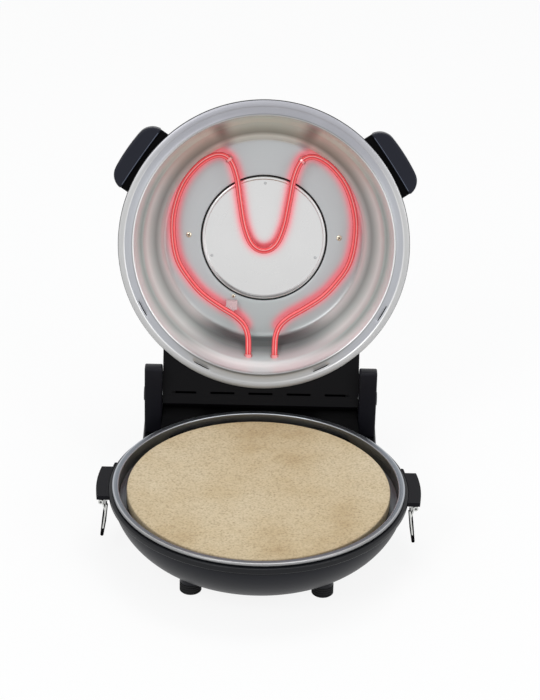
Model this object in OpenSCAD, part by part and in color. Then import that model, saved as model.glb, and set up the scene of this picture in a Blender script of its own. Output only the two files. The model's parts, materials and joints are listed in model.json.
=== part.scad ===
// Electric pizza maker: a round stone oven with a hinged, heated lid.
// Millimetres.  +Z is up, the origin is the centre of the base on the table,
// the front is at -Y and the lid's hinge runs along X behind the bowl.
// The lid is drawn shut and then turned back to where it stands open.

/* [Base] */
// Outer radius of the bright ring round the baking stone
ring_r = 169; // [166:1:174]
// Height of the ring's top above the table
ring_z = 85; // [82:1:95]
// Width of the ring's flat top
ring_w = 7.5; // [6:0.5:9]
// Height of the ring's rolled outer edge
ring_h = 3; // [2:0.5:4]
// How far the ring stands above the black lip
ring_proud = 4.5; // [4:0.5:7]
// How far the black lip stands out past the ring
lip_out = 4; // [3:0.5:6]
// Height of the lip's outer side
lip_h = 7; // [5:0.5:9]
// How far the bowl starts inside the lip
bowl_in = 4.5; // [3:0.5:6]
// Dark gap between the lip and the bowl
bowl_gap = 2.5; // [1.5:0.5:3.5]
// Radius of the bowl's flat bottom
bottom_r = 113; // [108:1:116]
// How full the bowl's curve is
bowl_full = 1.6; // [1.4:0.1:2]
// Wall of the moulded shells
shell_wall = 2.4; // [2:0.2:3]
// Radius of the opening under the bowl
hatch_r = 96; // [90:1:100]

/* [Feet] */
// Height of a foot
foot_h = 12; // [10:0.5:14]
// Radius of a foot
foot_r = 12.5; // [11:0.5:14]
// Half the distance between the left and right feet
foot_x = 75; // [70:1:80]
// Distance from the centre to the front feet
foot_front = 94; // [88:1:98]
// How far the rear feet stand in front of the hinge pins
foot_back_in = 7; // [2:1:12]
// Radius of a foot's screw
foot_screw_r = 2; // [1.5:0.25:2.5]

/* [Stone and lower heater] */
// Gap between the baking stone and the pan's wall
stone_gap = 9.5; // [8:0.5:12]
// How far the stone rests on the pan's seat
stone_rest = 5; // [4:0.5:8]
// Thickness of the baking stone
stone_t = 14; // [12:1:16]
// How far the stone's top lies below the ring's top
stone_drop = 5; // [4:0.5:7]
// How far the lower heater's loop lies inside the pan's well
low_loop_in = 35; // [28:1:45]
// Radius of a heater tube
tube_r = 3.6; // [3:0.2:4]
// Depth of the steel pan below the stone's seat
pan_depth = 24; // [20:1:28]

/* [Hinge] */
// Height of the hinge pins above the table
hinge_z = 96.6; // [94:0.5:100]
// How far the hinge pins lie behind the ring's edge
hinge_back = 16; // [14:0.5:19]
// Radius of a hinge pin
pin_r = 4; // [3:0.5:5]
// Angle the lid stands open at
open_angle = 108; // [95:1:112]
// Half the width of the lid's neck
neck_x = 118; // [112:1:122]
// Radius of the neck's rounded rear end
neck_barrel_r = 13; // [11:0.5:14]
// Width of a hinge post
post_w = 21; // [18:1:24]
// Height of a hinge post above the pins
post_above = 42; // [36:1:48]
// Depth of a hinge post, front to back
post_depth = 35; // [30:1:40]

/* [Lid] */
// How far the steel liner's flange stands out past the ring
flange_out = 5.4; // [5:0.2:6]
// Width of the flange
flange_w = 18.4; // [16:0.4:20]
// Depth of the liner from the flange to its floor
liner_depth = 66; // [60:1:68]
// How far the liner's wall slopes in between the flange and the floor
wall_run = 37; // [34:1:41]
// Thickness of the steel sheet
sheet = 0.8; // [0.6:0.1:1]
// How far the dome's top lies above the liner's floor
dome_room = 11; // [9:1:16]
// How far the dome's flat top ends inside the liner's floor
dome_flat_in = 23; // [20:1:28]
// How full the dome's curve is
dome_full = 1.5; // [1.4:0.1:1.8]
// Radius of the reflector disc in the liner's floor
disc_r = 75.2; // [70:0.4:78]
// Gap round the reflector disc
disc_gap = 1.8; // [1:0.2:2.4]
// How far the upper heater hangs below the liner's floor
tube_drop = 16; // [12:1:18]
// How far the upper heater's loop lies inside the edge of the floor
tube_in = 9; // [7:1:14]

/* [Handles and latches] */
// Angle from the lid's side forward to a handle
handle_turn = 34; // [30:1:38]
// Distance from the lid's rim to a handle's outer edge
handle_out = 25; // [23:0.5:28]
// Half the length of a handle along the rim
handle_half = 42.5; // [39:0.5:46]
// Thickness of a handle
handle_t = 19; // [14:1:22]
// How far a latch ear stands out past the lip
ear_out = 14.4; // [13:0.2:16]
// Thickness of a latch ear's top plate
ear_t = 5; // [4:0.5:6]
// Width of a latch
latch_w = 38; // [30:1:40]
// Length a latch hangs below its pin
latch_len = 46; // [42:1:52]
// Thickness of a latch's steel
latch_t = 1.6; // [1.2:0.1:2]

/* [Controls] */
// Radius of the control housing on the lid
pod_r = 70; // [64:1:74]
// Height of the control housing
pod_h = 22; // [18:1:26]
// Radius of a knob
knob_r = 17; // [14:0.5:20]
// Height of a knob
knob_h = 15; // [12:0.5:18]
// Distance from the centre to each knob
knob_x = 32; // [28:1:36]

/* [Fits] */
// Gap between parts that move past each other
move_gap = 0.3; // [0.3:0.05:0.5]
// Radial gap of a shaft in its hole
run_gap = 0.05; // [0.03:0.01:0.08]
// Gap between parts that are fastened together
seat_gap = 0.1; // [0.05:0.05:0.2]

/* [Hidden] */
$fn = 96;
SIDES = [-1, 1];
eps = 0.01;

// Heights and radii of the base
lip_r = ring_r + lip_out;
lip_top = ring_z - ring_proud;
lip_bottom = lip_top - lip_h;
bowl_top = lip_bottom - bowl_gap;
bowl_r = lip_r - bowl_in;
base_z = foot_h;
ring_in = ring_r - ring_w;
pan_wall_r = ring_in;
pan_t = 1;
stone_r = ring_in - stone_gap;
stone_top = ring_z - stone_drop;
stone_z = stone_top - stone_t;
seat_r = stone_r - stone_rest;
pan_floor = stone_z - pan_depth;
tongue_out = bowl_r - shell_wall - seat_gap;
tongue_in = pan_wall_r + pan_t + 0.5;
low_level = pan_floor + 12;
shield_z = base_z + 12;
bolt_r = 2.5;
low_loop_r = seat_r - low_loop_in;
low_gap_angle = 10;
low_exit_x = low_loop_r * sin(low_gap_angle);
low_exit_y = low_loop_r * cos(low_gap_angle);
low_exit_end = seat_r + 9;
hatch_t = 1.2;
hinge_y = ring_r + hinge_back;
foot_back = hinge_y - foot_back_in;
FEET = [for (y = [-foot_front, foot_back], x = SIDES) [x * foot_x, y]];

// Lid heights, measured from the rim's plane
rim_z = ring_z + move_gap;
shell_t = 1.2;
bead_t = 2;
flange_r = ring_r + flange_out;
shell_rim_r = flange_r + 0.2;
hem_h = 3.4;
shell_rim_h = 8;
dome_r = shell_rim_r - 4;
dome_h0 = 11;
dome_h = liner_depth + dome_room;
dome_in_h = dome_h - shell_t;
wall_r = flange_r - flange_w;
band_in = flange_r - 7.4;
floor_r = wall_r - wall_run;
dome_flat = floor_r - dome_flat_in;
hole_r = disc_r + disc_gap;

// Hinge, neck and posts
post_in = neck_x + 0.6;
post_out = post_in + post_w;
neck_low = rim_z + 2.7;
neck_top = rim_z + 34;
neck_front = hinge_y - 73;
neck_wall = 2.2;
neck_corner = 5.5;
bush_r = pin_r + 2.4;
bush_len = 13;
pin_len = 30;
slot_n = 5;
slot_pitch = 46;
slot_len = 29;
slot_w = 2.8;

// Rear housing behind the bowl
house_x = post_out + 1.5;
house_front = hinge_y - 65;
house_back = hinge_y + 23;
house_top = lip_bottom + 1;
house_ridge = hinge_z - neck_barrel_r - 3.4;
shoulder_z = 50;
centre_x = post_in - 0.2;

cover_x = 92;
cover_z0 = 20;
cover_z1 = 66;
cover_t = 2;
gland_x = 60;
gland_z = 36;
gland_r = 6.5;
cord_r = 3.6;

// Latches
latch_pin_r = 1.3;
knuckle_r = 2.9;
latch_px = lip_r + 7.8;
latch_pz = lip_top - ear_t - knuckle_r - move_gap;
latch_front = -27;
latch_back = latch_front + latch_w;
ear_r = lip_r + ear_out;
ear_back = 39;
lug_y = latch_front + 9;
lug_t = 4;

// Upper heater: half of its path, seen from below, from the hinge side inwards.
// Each point is [across, back, drop below the loop's level], the first two as
// percent of the distance from the lid's centre to the loop's widest point.
tube_level = liner_depth - tube_drop;
loop_r = floor_r - tube_in;
HEATER_HALF = [
    [14.5, 136, 14], [14.5, 128, 14], [14.5, 118, 13.8], [15.5, 106, 6], [20, 95.5, 0.6], [30, 86, 0],
    [46.4, 76, 0], [65.5, 62.7, 0], [80, 47.3, 0], [94, 25.5, 0], [100, -1.8, 0],
    [99, -31, 0], [89, -61, 0], [71.8, -82.7, 0], [53.6, -92.7, 0], [40, -88.2, 0],
    [31.8, -70, 0], [27.3, -43.6, 0], [21.8, -14.5, 0], [13.2, 5.5, 0]
];
HEATER_TIP = [0, 12.3, 0];
function on_loop(x, y) = [x, y] * loop_r / 100;
function heater_point(p, s) = concat(on_loop(s * p.x, p.y), rim_z + tube_level - p.z);
HEATER = concat(
    [for (p = HEATER_HALF) heater_point(p, 1)],
    [heater_point(HEATER_TIP, 1)],
    [for (p = reversed(HEATER_HALF)) heater_point(p, -1)]
);
heater_end = HEATER[0];

// ---- Shared shapes --------------------------------------------------------

// A quarter curve from [r0, z0] (flat) up to [r1, z1] (steep), fuller as p grows
function curve(r0, z0, r1, z1, p, n = 18) = [
    for (i = [0:n]) let (z = z0 + (z1 - z0) * pow(i / n, 1.6), u = (z1 - z) / (z1 - z0))
        [r0 + (r1 - r0) * pow(max(0, 1 - pow(u, p)), 1 / p), z]
];

// Points of an arc about c
function arc(c, r, a0, a1, n = 8) = [
    for (i = [0:n]) let (a = a0 + (a1 - a0) * i / n) c + r * [cos(a), sin(a)]
];

// The path shifted to its right by t, square to its bends
function right(d) = [d.y, -d.x] / norm(d);
function thickened(p, t) = let (n = len(p) - 1) [for (i = [0:n]) let (
    a = right(p[max(i, 1)] - p[max(i, 1) - 1]), b = right(p[min(i, n - 1) + 1] - p[min(i, n - 1)]))
        p[i] + t * (a + b) / (1 + a * b)];

function reversed(v) = [for (i = [len(v) - 1:-1:0]) v[i]];

module lathe(points) rotate_extrude() polygon(points);

// Lays a [y, z] outline across X between x0 and x1
module across(x0, x1) translate([x0, 0, 0]) rotate([90, 0, 90]) linear_extrude(x1 - x0) children();

// Lays an [x, z] outline along Y between y0 and y1
module along(y0, y1) translate([0, y1, 0]) rotate([90, 0, 0]) linear_extrude(y1 - y0) children();

// Cylinder along X, starting at p
module rod_x(p, r, len) translate(p) rotate([0, 90, 0]) cylinder(r = r, h = len);

// Cylinder along Y, starting at p
module rod_y(p, r, len) translate(p) rotate([-90, 0, 0]) cylinder(r = r, h = len);

// Mirrors a right-hand piece for the left side
module side(s) mirror([s < 0 ? 1 : 0, 0, 0]) children();

// Turns the shut lid back to where it stands open
module lid_open() translate([0, hinge_y, hinge_z]) rotate([-open_angle, 0, 0])
    translate([0, -hinge_y, -hinge_z]) children();

// Catmull-Rom point between b and c
function spline(a, b, c, d, t) = 0.5 * (2 * b + (c - a) * t + (2 * a - 5 * b + 4 * c - d) * t * t
    + (3 * b - a - 3 * c + d) * t * t * t);

function smooth_path(p, steps) = let (n = len(p)) concat(
    [for (i = [0:n - 2], j = [0:steps - 1])
        spline(p[max(i - 1, 0)], p[i], p[i + 1], p[min(i + 2, n - 1)], j / steps)],
    [p[n - 1]]
);

function unit(v) = v / norm(v);

// A round tube swept along a path
module swept_tube(path, r, sides) {
    n = len(path);
    rings = [for (i = [0:n - 1]) let (
        t = unit(path[min(i + 1, n - 1)] - path[max(i - 1, 0)]),
        u = unit(cross(t, [0, 0, 1])),
        v = cross(u, t)
    ) for (k = [0:sides - 1]) path[i] + r * (cos(360 * k / sides) * u + sin(360 * k / sides) * v)];
    quads = [for (i = [0:n - 2], k = [0:sides - 1]) let (a = i * sides + k, b = i * sides + (k + 1) % sides)
        [a, b, b + sides, a + sides]];
    ends = [[for (k = [sides - 1:-1:0]) k], [for (k = [0:sides - 1]) (n - 1) * sides + k]];
    polyhedron(rings, concat(quads, ends));
}

// ---- Base -----------------------------------------------------------------

bowl_outside = curve(bottom_r, base_z, bowl_r, bowl_top, bowl_full);
bowl_inside = curve(bottom_r - shell_wall, base_z + shell_wall, bowl_r - shell_wall, bowl_top, bowl_full);

// The bowl as a solid, a little larger, for what sits against it
module bowl_solid(gap) {
    lathe(concat([[0, base_z - 1], [bottom_r + gap, base_z - 1]],
        [for (p = bowl_outside) [p.x + gap, p.y]], [[bowl_r + gap, lip_bottom], [0, lip_bottom]]));
    translate([0, 0, lip_bottom - gap]) cylinder(r = lip_r + gap, h = ring_z - lip_bottom + 40);
}

module base_bowl() color("#2f3036") difference() {
    union() {
        lathe(concat(
            [[hatch_r, base_z]], bowl_outside, reversed(bowl_inside), [[hatch_r, base_z + shell_wall]]
        ));
        for (p = FEET) if (p.y < 0) translate([p.x, p.y, base_z]) cylinder(r = foot_r - 0.3, h = 12);
    }
    foot_screw_holes();
    rod_y([0, house_front, 45], 9, 60);
    translate([0, 0, base_z - 1]) cylinder(r = hatch_r + 6, h = 1 + hatch_t + seat_gap);
    for (a = [0:3]) rotate(45 + 90 * a) translate([hatch_r + 3, 0, base_z])
        cylinder(r = 1.5 + run_gap, h = 10);
}

module bowl_lip() color("#141519") lathe([
    [lip_r - 1, lip_bottom], [lip_r, lip_bottom + 1], [lip_r, lip_top - 1.2], [lip_r - 1.2, lip_top],
    [ring_r - 2, lip_top], [ring_r - 2, ring_z - pan_t], [tongue_in, ring_z - pan_t],
    [tongue_in, bowl_top - 6], [tongue_out - 1.3, bowl_top - 6], [tongue_out, bowl_top - 0.5],
    [tongue_out, lip_bottom]
]);

module steel_pan() color("#8f9298") difference() {
    lathe([
        [ring_r - 1, ring_z - ring_h], [ring_r, ring_z - ring_h], [ring_r, ring_z - 1.2],
        [ring_r - 0.4, ring_z - 0.4], [ring_r - 1.2, ring_z], [pan_wall_r + 0.6, ring_z],
        [pan_wall_r, ring_z - 0.6], [pan_wall_r, stone_z],
        [seat_r, stone_z], [seat_r, pan_floor], [3, pan_floor],
        [3, pan_floor - pan_t], [seat_r + pan_t, pan_floor - pan_t], [seat_r + pan_t, stone_z - pan_t],
        [pan_wall_r + pan_t, stone_z - pan_t], [pan_wall_r + pan_t, ring_z - pan_t],
        [ring_r - 1, ring_z - pan_t]
    ]);
    for (s = SIDES) rod_y([s * low_exit_x, seat_r - 20, low_level], tube_r + 1.4 + run_gap, 30);
}

module baking_stone() color("#d8cdb8") lathe([
    [0, stone_z], [stone_r - 1.5, stone_z], [stone_r, stone_z + 1.5], [stone_r, stone_top - 1.5],
    [stone_r - 1.5, stone_top], [0, stone_top]
]);

module lower_heater() color("#5b5c5f") {
    translate([0, 0, low_level]) rotate(90 + low_gap_angle) rotate_extrude(angle = 360 - 2 * low_gap_angle)
        translate([low_loop_r, 0]) circle(r = tube_r, $fn = 48);
    for (s = SIDES) {
        translate([s * low_exit_x, low_exit_y, low_level]) sphere(r = tube_r + 0.3, $fn = 48);
        rod_y([s * low_exit_x, low_exit_y, low_level], tube_r, low_exit_end - low_exit_y);
    }
}

module heater_saddles() color("#a9abae") for (a = [-90, 30, 150]) rotate(a) difference() {
    translate([low_loop_r - 6, -4, pan_floor]) cube([12, 8, low_level - pan_floor]);
    translate([low_loop_r, -5, low_level]) rotate([-90, 0, 0]) cylinder(r = tube_r + 0.6, h = 10);
}

module lower_heater_bushings() color("#b9bbbe") for (s = SIDES) difference() {
    union() {
        rod_y([s * low_exit_x, seat_r - 2, low_level], tube_r + 1.4, 8);
        rod_y([s * low_exit_x, seat_r + pan_t + 0.9, low_level], tube_r + 4, 4);
    }
    rod_y([s * low_exit_x, seat_r - 3, low_level], tube_r + run_gap, 12);
}

module heat_shield() color("#b6b9bc") lathe([
    [5, shield_z], [low_loop_r - 8, shield_z], [low_loop_r, shield_z + 4], [low_loop_r, shield_z + 4.8],
    [low_loop_r - 8.4, shield_z + 0.8], [5, shield_z + 0.8]
]);

module centre_bolt() color("#c3c5c8") {
    translate([0, 0, base_z + 0.4]) cylinder(r = bolt_r, h = pan_floor + 4 - base_z - 0.4);
    translate([0, 0, base_z + hatch_t + seat_gap])
        cylinder(r = 7, h = shield_z - base_z - hatch_t - seat_gap);
    translate([0, 0, shield_z + 0.8]) cylinder(r = 7, h = pan_floor - pan_t - shield_z - 0.8);
    translate([0, 0, pan_floor]) cylinder(r = 5, h = 4, $fn = 6);
}

module bottom_hatch() color("#26272b") difference() {
    translate([0, 0, base_z]) cylinder(r = hatch_r + 6 - seat_gap, h = hatch_t);
    for (a = [0:11]) rotate(30 * a) translate([50, -2, base_z - 1]) cube([28, 4, hatch_t + 2]);
    for (a = [0:3]) rotate(45 + 90 * a) translate([hatch_r + 3, 0, base_z - 1]) cylinder(r = 1.6, h = 4);
    translate([0, 0, base_z - 1]) cylinder(r = bolt_r + run_gap, h = 4);
}

module hatch_screws() color("#9a9ca0") for (a = [0:3]) rotate(45 + 90 * a) translate([hatch_r + 3, 0, 0]) {
    translate([0, 0, base_z - 1.4]) cylinder(r = 2.8, h = 1.4);
    translate([0, 0, base_z - eps]) cylinder(r = 1.5, h = 6);
}

module foot_screw_holes() for (p = FEET) translate([p.x, p.y, base_z - 1])
    cylinder(r = foot_screw_r + run_gap, h = 10);

// A rubber foot with three grooves and a deep screw hole
module foot(p) color("#17181a") translate([p.x, p.y, 0]) difference() {
    lathe(concat([[foot_screw_r + 2.4, 0], [foot_r - 1, 0], [foot_r, 1]],
        [for (i = [0:2]) each let (z = 2.5 + i * 3) [
            [foot_r, z], [foot_r - 0.8, z + 0.5], [foot_r - 0.8, z + 1], [foot_r, z + 1.5]
        ]],
        [[foot_r, foot_h], [foot_screw_r + run_gap, foot_h], [foot_screw_r + run_gap, 6],
            [foot_screw_r + 2.4, 6]]));
}
module foot_front_left() foot(FEET[0]);
module foot_front_right() foot(FEET[1]);
module foot_rear_left() foot(FEET[2]);
module foot_rear_right() foot(FEET[3]);

module foot_screws() color("#9a9ca0") for (p = FEET) translate([p.x, p.y, 0]) {
    translate([0, 0, 4]) cylinder(r = foot_screw_r + 1.8, h = 2);
    translate([0, 0, 6 - eps]) cylinder(r = foot_screw_r, h = foot_h + 2);
}

// ---- Rear housing and hinge -----------------------------------------------

module housing_block(inset) {
    b = house_back - 2 * inset;
    x = house_x - inset;
    f = house_front + inset;
    translate([-x, f, base_z + inset]) cube([2 * x, b - f, shoulder_z - base_z - 2 * inset]);
    cx = centre_x - inset;
    translate([-cx, f, base_z + inset]) cube([2 * cx, b - f, house_top - base_z - 2 * inset]);
}

module rear_housing() color("#0f1013") difference() {
    union() {
        difference() {
            union() {
                housing_block(0);
                across(-centre_x, centre_x) polygon([
                    [house_back - 16, house_top - eps], [house_back, house_top - eps],
                    [house_back, house_ridge - 2], [house_back - 2, house_ridge],
                    [house_back - 11, house_ridge]
                ]);
            }
            housing_block(shell_wall);
            translate([-cover_x, house_back - 10, cover_z0]) cube([2 * cover_x, 20, cover_z1 - cover_z0]);
        }
        for (p = FEET) if (p.y > 0) translate([p.x, p.y, base_z]) cylinder(r = foot_r - 0.3, h = 10);
        for (x = SIDES, z = [cover_z0 - 4, cover_z1 - 2.6])
            translate([x * (cover_x - 12) - 4, house_back - 9, z]) cube([8, 9 - cover_t - seat_gap, 7]);
    }
    bowl_solid(0.2);
    foot_screw_holes();
    translate([-cover_x - 5, house_back - cover_t - seat_gap, cover_z0 - 5])
        cube([2 * cover_x + 10, 20, cover_z1 - cover_z0 + 10]);
    cover_screw_holes(1.5 + run_gap, 8);
    for (s = SIDES, y = [-9, 9]) translate([s * (post_in + post_w / 2), hinge_y + y, shoulder_z - 5])
        cylinder(r = 1.6, h = 10);
}

module cover_screw_holes(r, len) for (x = SIDES, z = [cover_z0, cover_z1])
    rod_y([x * (cover_x - 12), house_back - len, z], r, len + 5);

module rear_cover() color("#1a1b1f") difference() {
    translate([-cover_x - 5 + seat_gap, house_back - cover_t, cover_z0 - 5 + seat_gap])
        cube([2 * (cover_x + 5 - seat_gap), cover_t, cover_z1 - cover_z0 + 10 - 2 * seat_gap]);
    cover_screw_holes(1.6, 8);
    rod_y([gland_x, house_back - 5, gland_z], gland_r + run_gap, 10);
    for (i = [-3:3]) translate([-30 + i * 10 - 2, house_back - 5, 30]) cube([4, 10, 26]);
}

module rear_cover_screws() color("#9a9ca0") for (x = SIDES, z = [cover_z0, cover_z1]) {
    rod_y([x * (cover_x - 12), house_back, z], 2.8, 1.4);
    rod_y([x * (cover_x - 12), house_back - 7, z], 1.5, 7 + eps);
}

module cord_gland() color("#17181a") difference() {
    union() {
        rod_y([gland_x, house_back - 6, gland_z], gland_r, 12);
        rod_y([gland_x, house_back, gland_z], gland_r + 2.5, 2.5);
        rod_y([gland_x, house_back - cover_t - 2.5, gland_z], gland_r + 2, 2.5 - seat_gap);
    }
    rod_y([gland_x, house_back - 20, gland_z], cord_r, 40);
}

module terminal_block() color("#d9d6cc") difference() {
    translate([-24, house_back - 30, base_z + shell_wall]) cube([48, 16, 15]);
    for (i = [-1:1]) {
        rod_y([i * 15, house_back - 40, base_z + shell_wall + 6], 2.6, 40);
        translate([i * 15, house_back - 22, base_z + shell_wall + 6]) cylinder(r = 2, h = 20);
    }
}

// A post stands on the housing's shoulder and holds one hinge pin
module hinge_post() color("#1f2025") difference() {
    y0 = hinge_y - post_depth / 2 + 1;
    y1 = hinge_y + post_depth / 2 + 1;
    top = hinge_z + post_above;
    across(post_in, post_out) polygon(concat(
        [[y0 + 2, shoulder_z], [y1, shoulder_z]],
        arc([y1 - 27, top - 27], 27, 0, 90), arc([y0 + 5, top - 4], 4, 90, 165),
        [[y0 + 0.6, top - 18], [y0, hinge_z + 4], [y0 + 1, hinge_z - 20]]
    ));
    rod_x([post_in - 1, hinge_y, hinge_z], pin_r + run_gap, pin_len - bush_len);
    for (y = [-9, 9]) translate([post_in + post_w / 2, hinge_y + y, shoulder_z - 1])
        cylinder(r = 1.5, h = 12);
    translate([post_in + 3, y1 - 3, shoulder_z + 14]) cube([post_w - 6, 6, top - shoulder_z - 34]);
}
module hinge_post_left() side(-1) hinge_post();
module hinge_post_right() hinge_post();

module hinge_pin() color("#b5b7ba")
    rod_x([neck_x - bush_len, hinge_y, hinge_z], pin_r, pin_len - 1 - seat_gap);
module hinge_pin_left() side(-1) hinge_pin();
module hinge_pin_right() hinge_pin();

// ---- Latches ---------------------------------------------------------------

// Plan of an ear from y0 back to its rear lug, with a round outer edge
module ear_plan(y0, r) polygon(concat(
    [[lip_r - 12, y0]], arc([0, 0], r, asin(y0 / r), asin(ear_back / r), 12),
    [[lip_r - 2.5, ear_back], [lip_r - 4.2, ear_back + 9], [lip_r - 12, ear_back + 11]]
));

module latch_ear() color("#24262d") difference() {
    union() {
        translate([0, 0, lip_top - ear_t]) linear_extrude(ear_t) ear_plan(latch_front, ear_r);
        translate([0, 0, lip_top - 12]) linear_extrude(12 - ear_t + eps)
            ear_plan(latch_back + move_gap, ear_r - 0.8);
        rod_y([latch_px, lug_y, latch_pz], knuckle_r, lug_t);
        translate([latch_px - knuckle_r, lug_y, latch_pz])
            cube([2 * knuckle_r, lug_t, lip_top - latch_pz - 1]);
    }
    translate([0, 0, lip_top - 30]) cylinder(r = lip_r + seat_gap / 2, h = 40);
    rod_y([latch_px, latch_front - 1, latch_pz], latch_pin_r + run_gap, latch_w + 9);
}
module latch_ear_left() side(-1) latch_ear();
module latch_ear_right() latch_ear();

module latch_pin() color("#c6c8cb")
    rod_y([latch_px, latch_front + 0.5, latch_pz], latch_pin_r, latch_w + 7);
module latch_pin_left() side(-1) latch_pin();
module latch_pin_right() latch_pin();

// Bends of a hanging latch, from its knuckle down: [x from the pin, z from the pin]
LATCH_BEND = [[-1.8, 0], [-5.4, -13], [-0.8, -latch_len]];
function on_leg(t) = LATCH_BEND[1] + (LATCH_BEND[2] - LATCH_BEND[1]) * t;
strap_end = on_leg(0.68);

// A strip of steel between two points of the [x, z] plane
function square_to(a, b) = unit([a.y - b.y, b.x - a.x]) / 2;
module strip(a, b, t) let (n = square_to(a, b) * t) polygon([a + n, b + n, b - n, a - n]);

module latch_lever() color("#cfd1d4") translate([latch_px, 0, latch_pz]) difference() {
    union() {
        rod_y([0, latch_front, 0], knuckle_r, latch_w);
        along(latch_front, latch_back) union() {
            strip(LATCH_BEND[0], LATCH_BEND[1], latch_t);
            strip(LATCH_BEND[1] + [0, 0.3], strap_end, latch_t);
        }
        along(latch_front, latch_front + 8)
            strip(LATCH_BEND[1], LATCH_BEND[1] + [-0.9, 9.5], latch_t);
    }
    rod_y([0, latch_front - 1, 0], latch_pin_r + run_gap, latch_w + 2);
    rod_y([0, lug_y - move_gap, 0], knuckle_r + move_gap, lug_t + 2 * move_gap);
}
module latch_lever_left() side(-1) latch_lever();
module latch_lever_right() latch_lever();

module latch_grip() color("#101114") translate([latch_px, 0, latch_pz]) difference() {
    top = on_leg(0.35);
    n = square_to(top, LATCH_BEND[2]);
    lean = atan2(n.y, n.x);
    along(latch_front + 0.5, latch_back - 0.5) polygon(concat(
        [top + 4.8 * n, top - 4.8 * n], arc(on_leg(0.94), grip_tip_r, 180 + lean, 360 + lean)
    ));
    along(latch_front - 1, latch_back + 1)
        strip(on_leg(0.3), strap_end + [0, -seat_gap], latch_t + 2 * seat_gap);
}
grip_tip_r = 1.9;
module latch_grip_left() side(-1) latch_grip();
module latch_grip_right() latch_grip();

// ---- Lid -------------------------------------------------------------------

dome_outside = reversed([for (p = curve(dome_flat, dome_h, dome_r, dome_h0, dome_full)) p]);
dome_inside = [for (p = curve(dome_flat, dome_in_h, dome_r - shell_t, dome_h0, dome_full)) p];

// The lid's shell as a solid, a little larger, for what sits against it
module dome_solid(gap) translate([0, 0, rim_z]) lathe(concat(
    [[0, -5], [shell_rim_r + gap, -5], [shell_rim_r + gap, shell_rim_h + gap]],
    [for (p = dome_outside) [p.x + gap, p.y]], [[0, dome_h + gap]]));

module lid_shell() color("#1b1c20") lid_open() translate([0, 0, rim_z]) difference() {
    lathe(concat(
        [[shell_rim_r - bead_t, hem_h + 0.2], [shell_rim_r - 0.5, hem_h + 0.2],
        [shell_rim_r, hem_h + 0.7], [shell_rim_r, shell_rim_h]], dome_outside,
        [[14, dome_h], [14, dome_in_h]], dome_inside,
        [[shell_rim_r - bead_t, shell_rim_h - shell_t]]
    ));
    translate([-30, 100, 14]) cube([60, 90, 14]);
}

// The wall's curve from the flange in to the floor, as percent of its run and of its depth
WALL_CURVE = [
    [1.6, 2.1], [3.2, 6], [7, 15], [13.5, 26], [23.2, 35], [28.6, 39.4], [34, 47], [42.2, 57.6], [53, 67.4],
    [66.5, 76.5], [81, 87], [91.4, 95.5], [97.3, 98.9]
];
LINER = concat(
    [[flange_r, hem_h], [flange_r, 0.6], [flange_r - 0.6, 0], [band_in, 0], [band_in - 0.8, 0.9],
    [wall_r + 1.6, 0.9], [wall_r + 0.4, 0.5]],
    [for (p = WALL_CURVE) [wall_r - wall_run * p.x / 100, liner_depth * p.y / 100]],
    [[floor_r - 2, liner_depth], [hole_r + 1.2, liner_depth], [hole_r, liner_depth + 1.2]]
);
module lid_liner() color("#b4b5b4") lid_open() translate([0, 0, rim_z]) difference() {
    lathe(concat(LINER, reversed(thickened(LINER, sheet))));
    for (a = [28.5, 63.5, 116.5, 151.5]) rotate(a) translate([band_in - 3.6, -8, -3]) cube([1.6, 16, 8]);
    for (s = SIDES) rod_y([s * heater_end.x, wall_r - 40, heater_end.z - rim_z], tube_r + 1.4 + run_gap, 60);
    for (p = SCREWS) at_screw(p) translate([0, 0, -3]) cylinder(r = 1.6, h = 8);
}

// Screws in the floor: [distance from the centre, angle, radius of the head]
SCREWS = [[hole_r + 14.5, -178.8, 3.4], [hole_r + 14.5, -1.2, 3.4], [hole_r + 3.8, 116.2, 2.3]];
module at_screw(p) rotate(p[1]) translate([p[0], 0, liner_depth]) children();
carrier_h = liner_depth + sheet + 2.4;
module disc_carrier() color("#0c0c0d") lid_open() translate([0, 0, rim_z]) difference() {
    union() {
        lathe([[0, carrier_h], [hole_r + 7, carrier_h], [hole_r + 7, carrier_h - 2.2],
            [hole_r + 19, carrier_h - 2.2], [hole_r + 19, carrier_h - 1.4], [hole_r + 7.8, carrier_h - 1.4],
            [hole_r + 7.8, carrier_h + 0.8], [0, carrier_h + 0.8]]);
        for (a = [0:2]) rotate(90 + 120 * a) translate([50, 0, carrier_h])
            cylinder(r = 4, h = dome_in_h - carrier_h);
    }
    for (a = [20, 160, 270]) rotate(a) translate([67, 0, carrier_h - 2]) cylinder(r = 1.6, h = 6);
    for (p = SCREWS) at_screw(p) cylinder(r = 1.6, h = carrier_h - liner_depth - 0.5);
}

// The disc hangs on three short rivets under its carrier
module reflector_disc() color("#b9bbbb") lid_open() translate([0, 0, rim_z]) {
    lathe([[0, liner_depth + 0.6], [disc_r - 3.4, liner_depth + 0.6], [disc_r - 2.6, liner_depth - 0.4],
        [disc_r - 0.8, liner_depth - 0.4], [disc_r, liner_depth + 0.4], [disc_r, liner_depth + 1.8],
        [disc_r - 0.8, liner_depth + 1.8], [disc_r - 0.8, liner_depth + 1.4], [0, liner_depth + 1.4]]);
    for (a = [20, 160, 270]) rotate(a) {
        translate([67, 0, liner_depth + 1.4 - eps]) cylinder(r = 1.5, h = carrier_h - liner_depth + 1);
        translate([67, 0, liner_depth]) cylinder(r = 2.2, h = 0.7);
    }
}

module upper_heater() color("#e5202a") lid_open() swept_tube(smooth_path(HEATER, 3), tube_r, 12);

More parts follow.
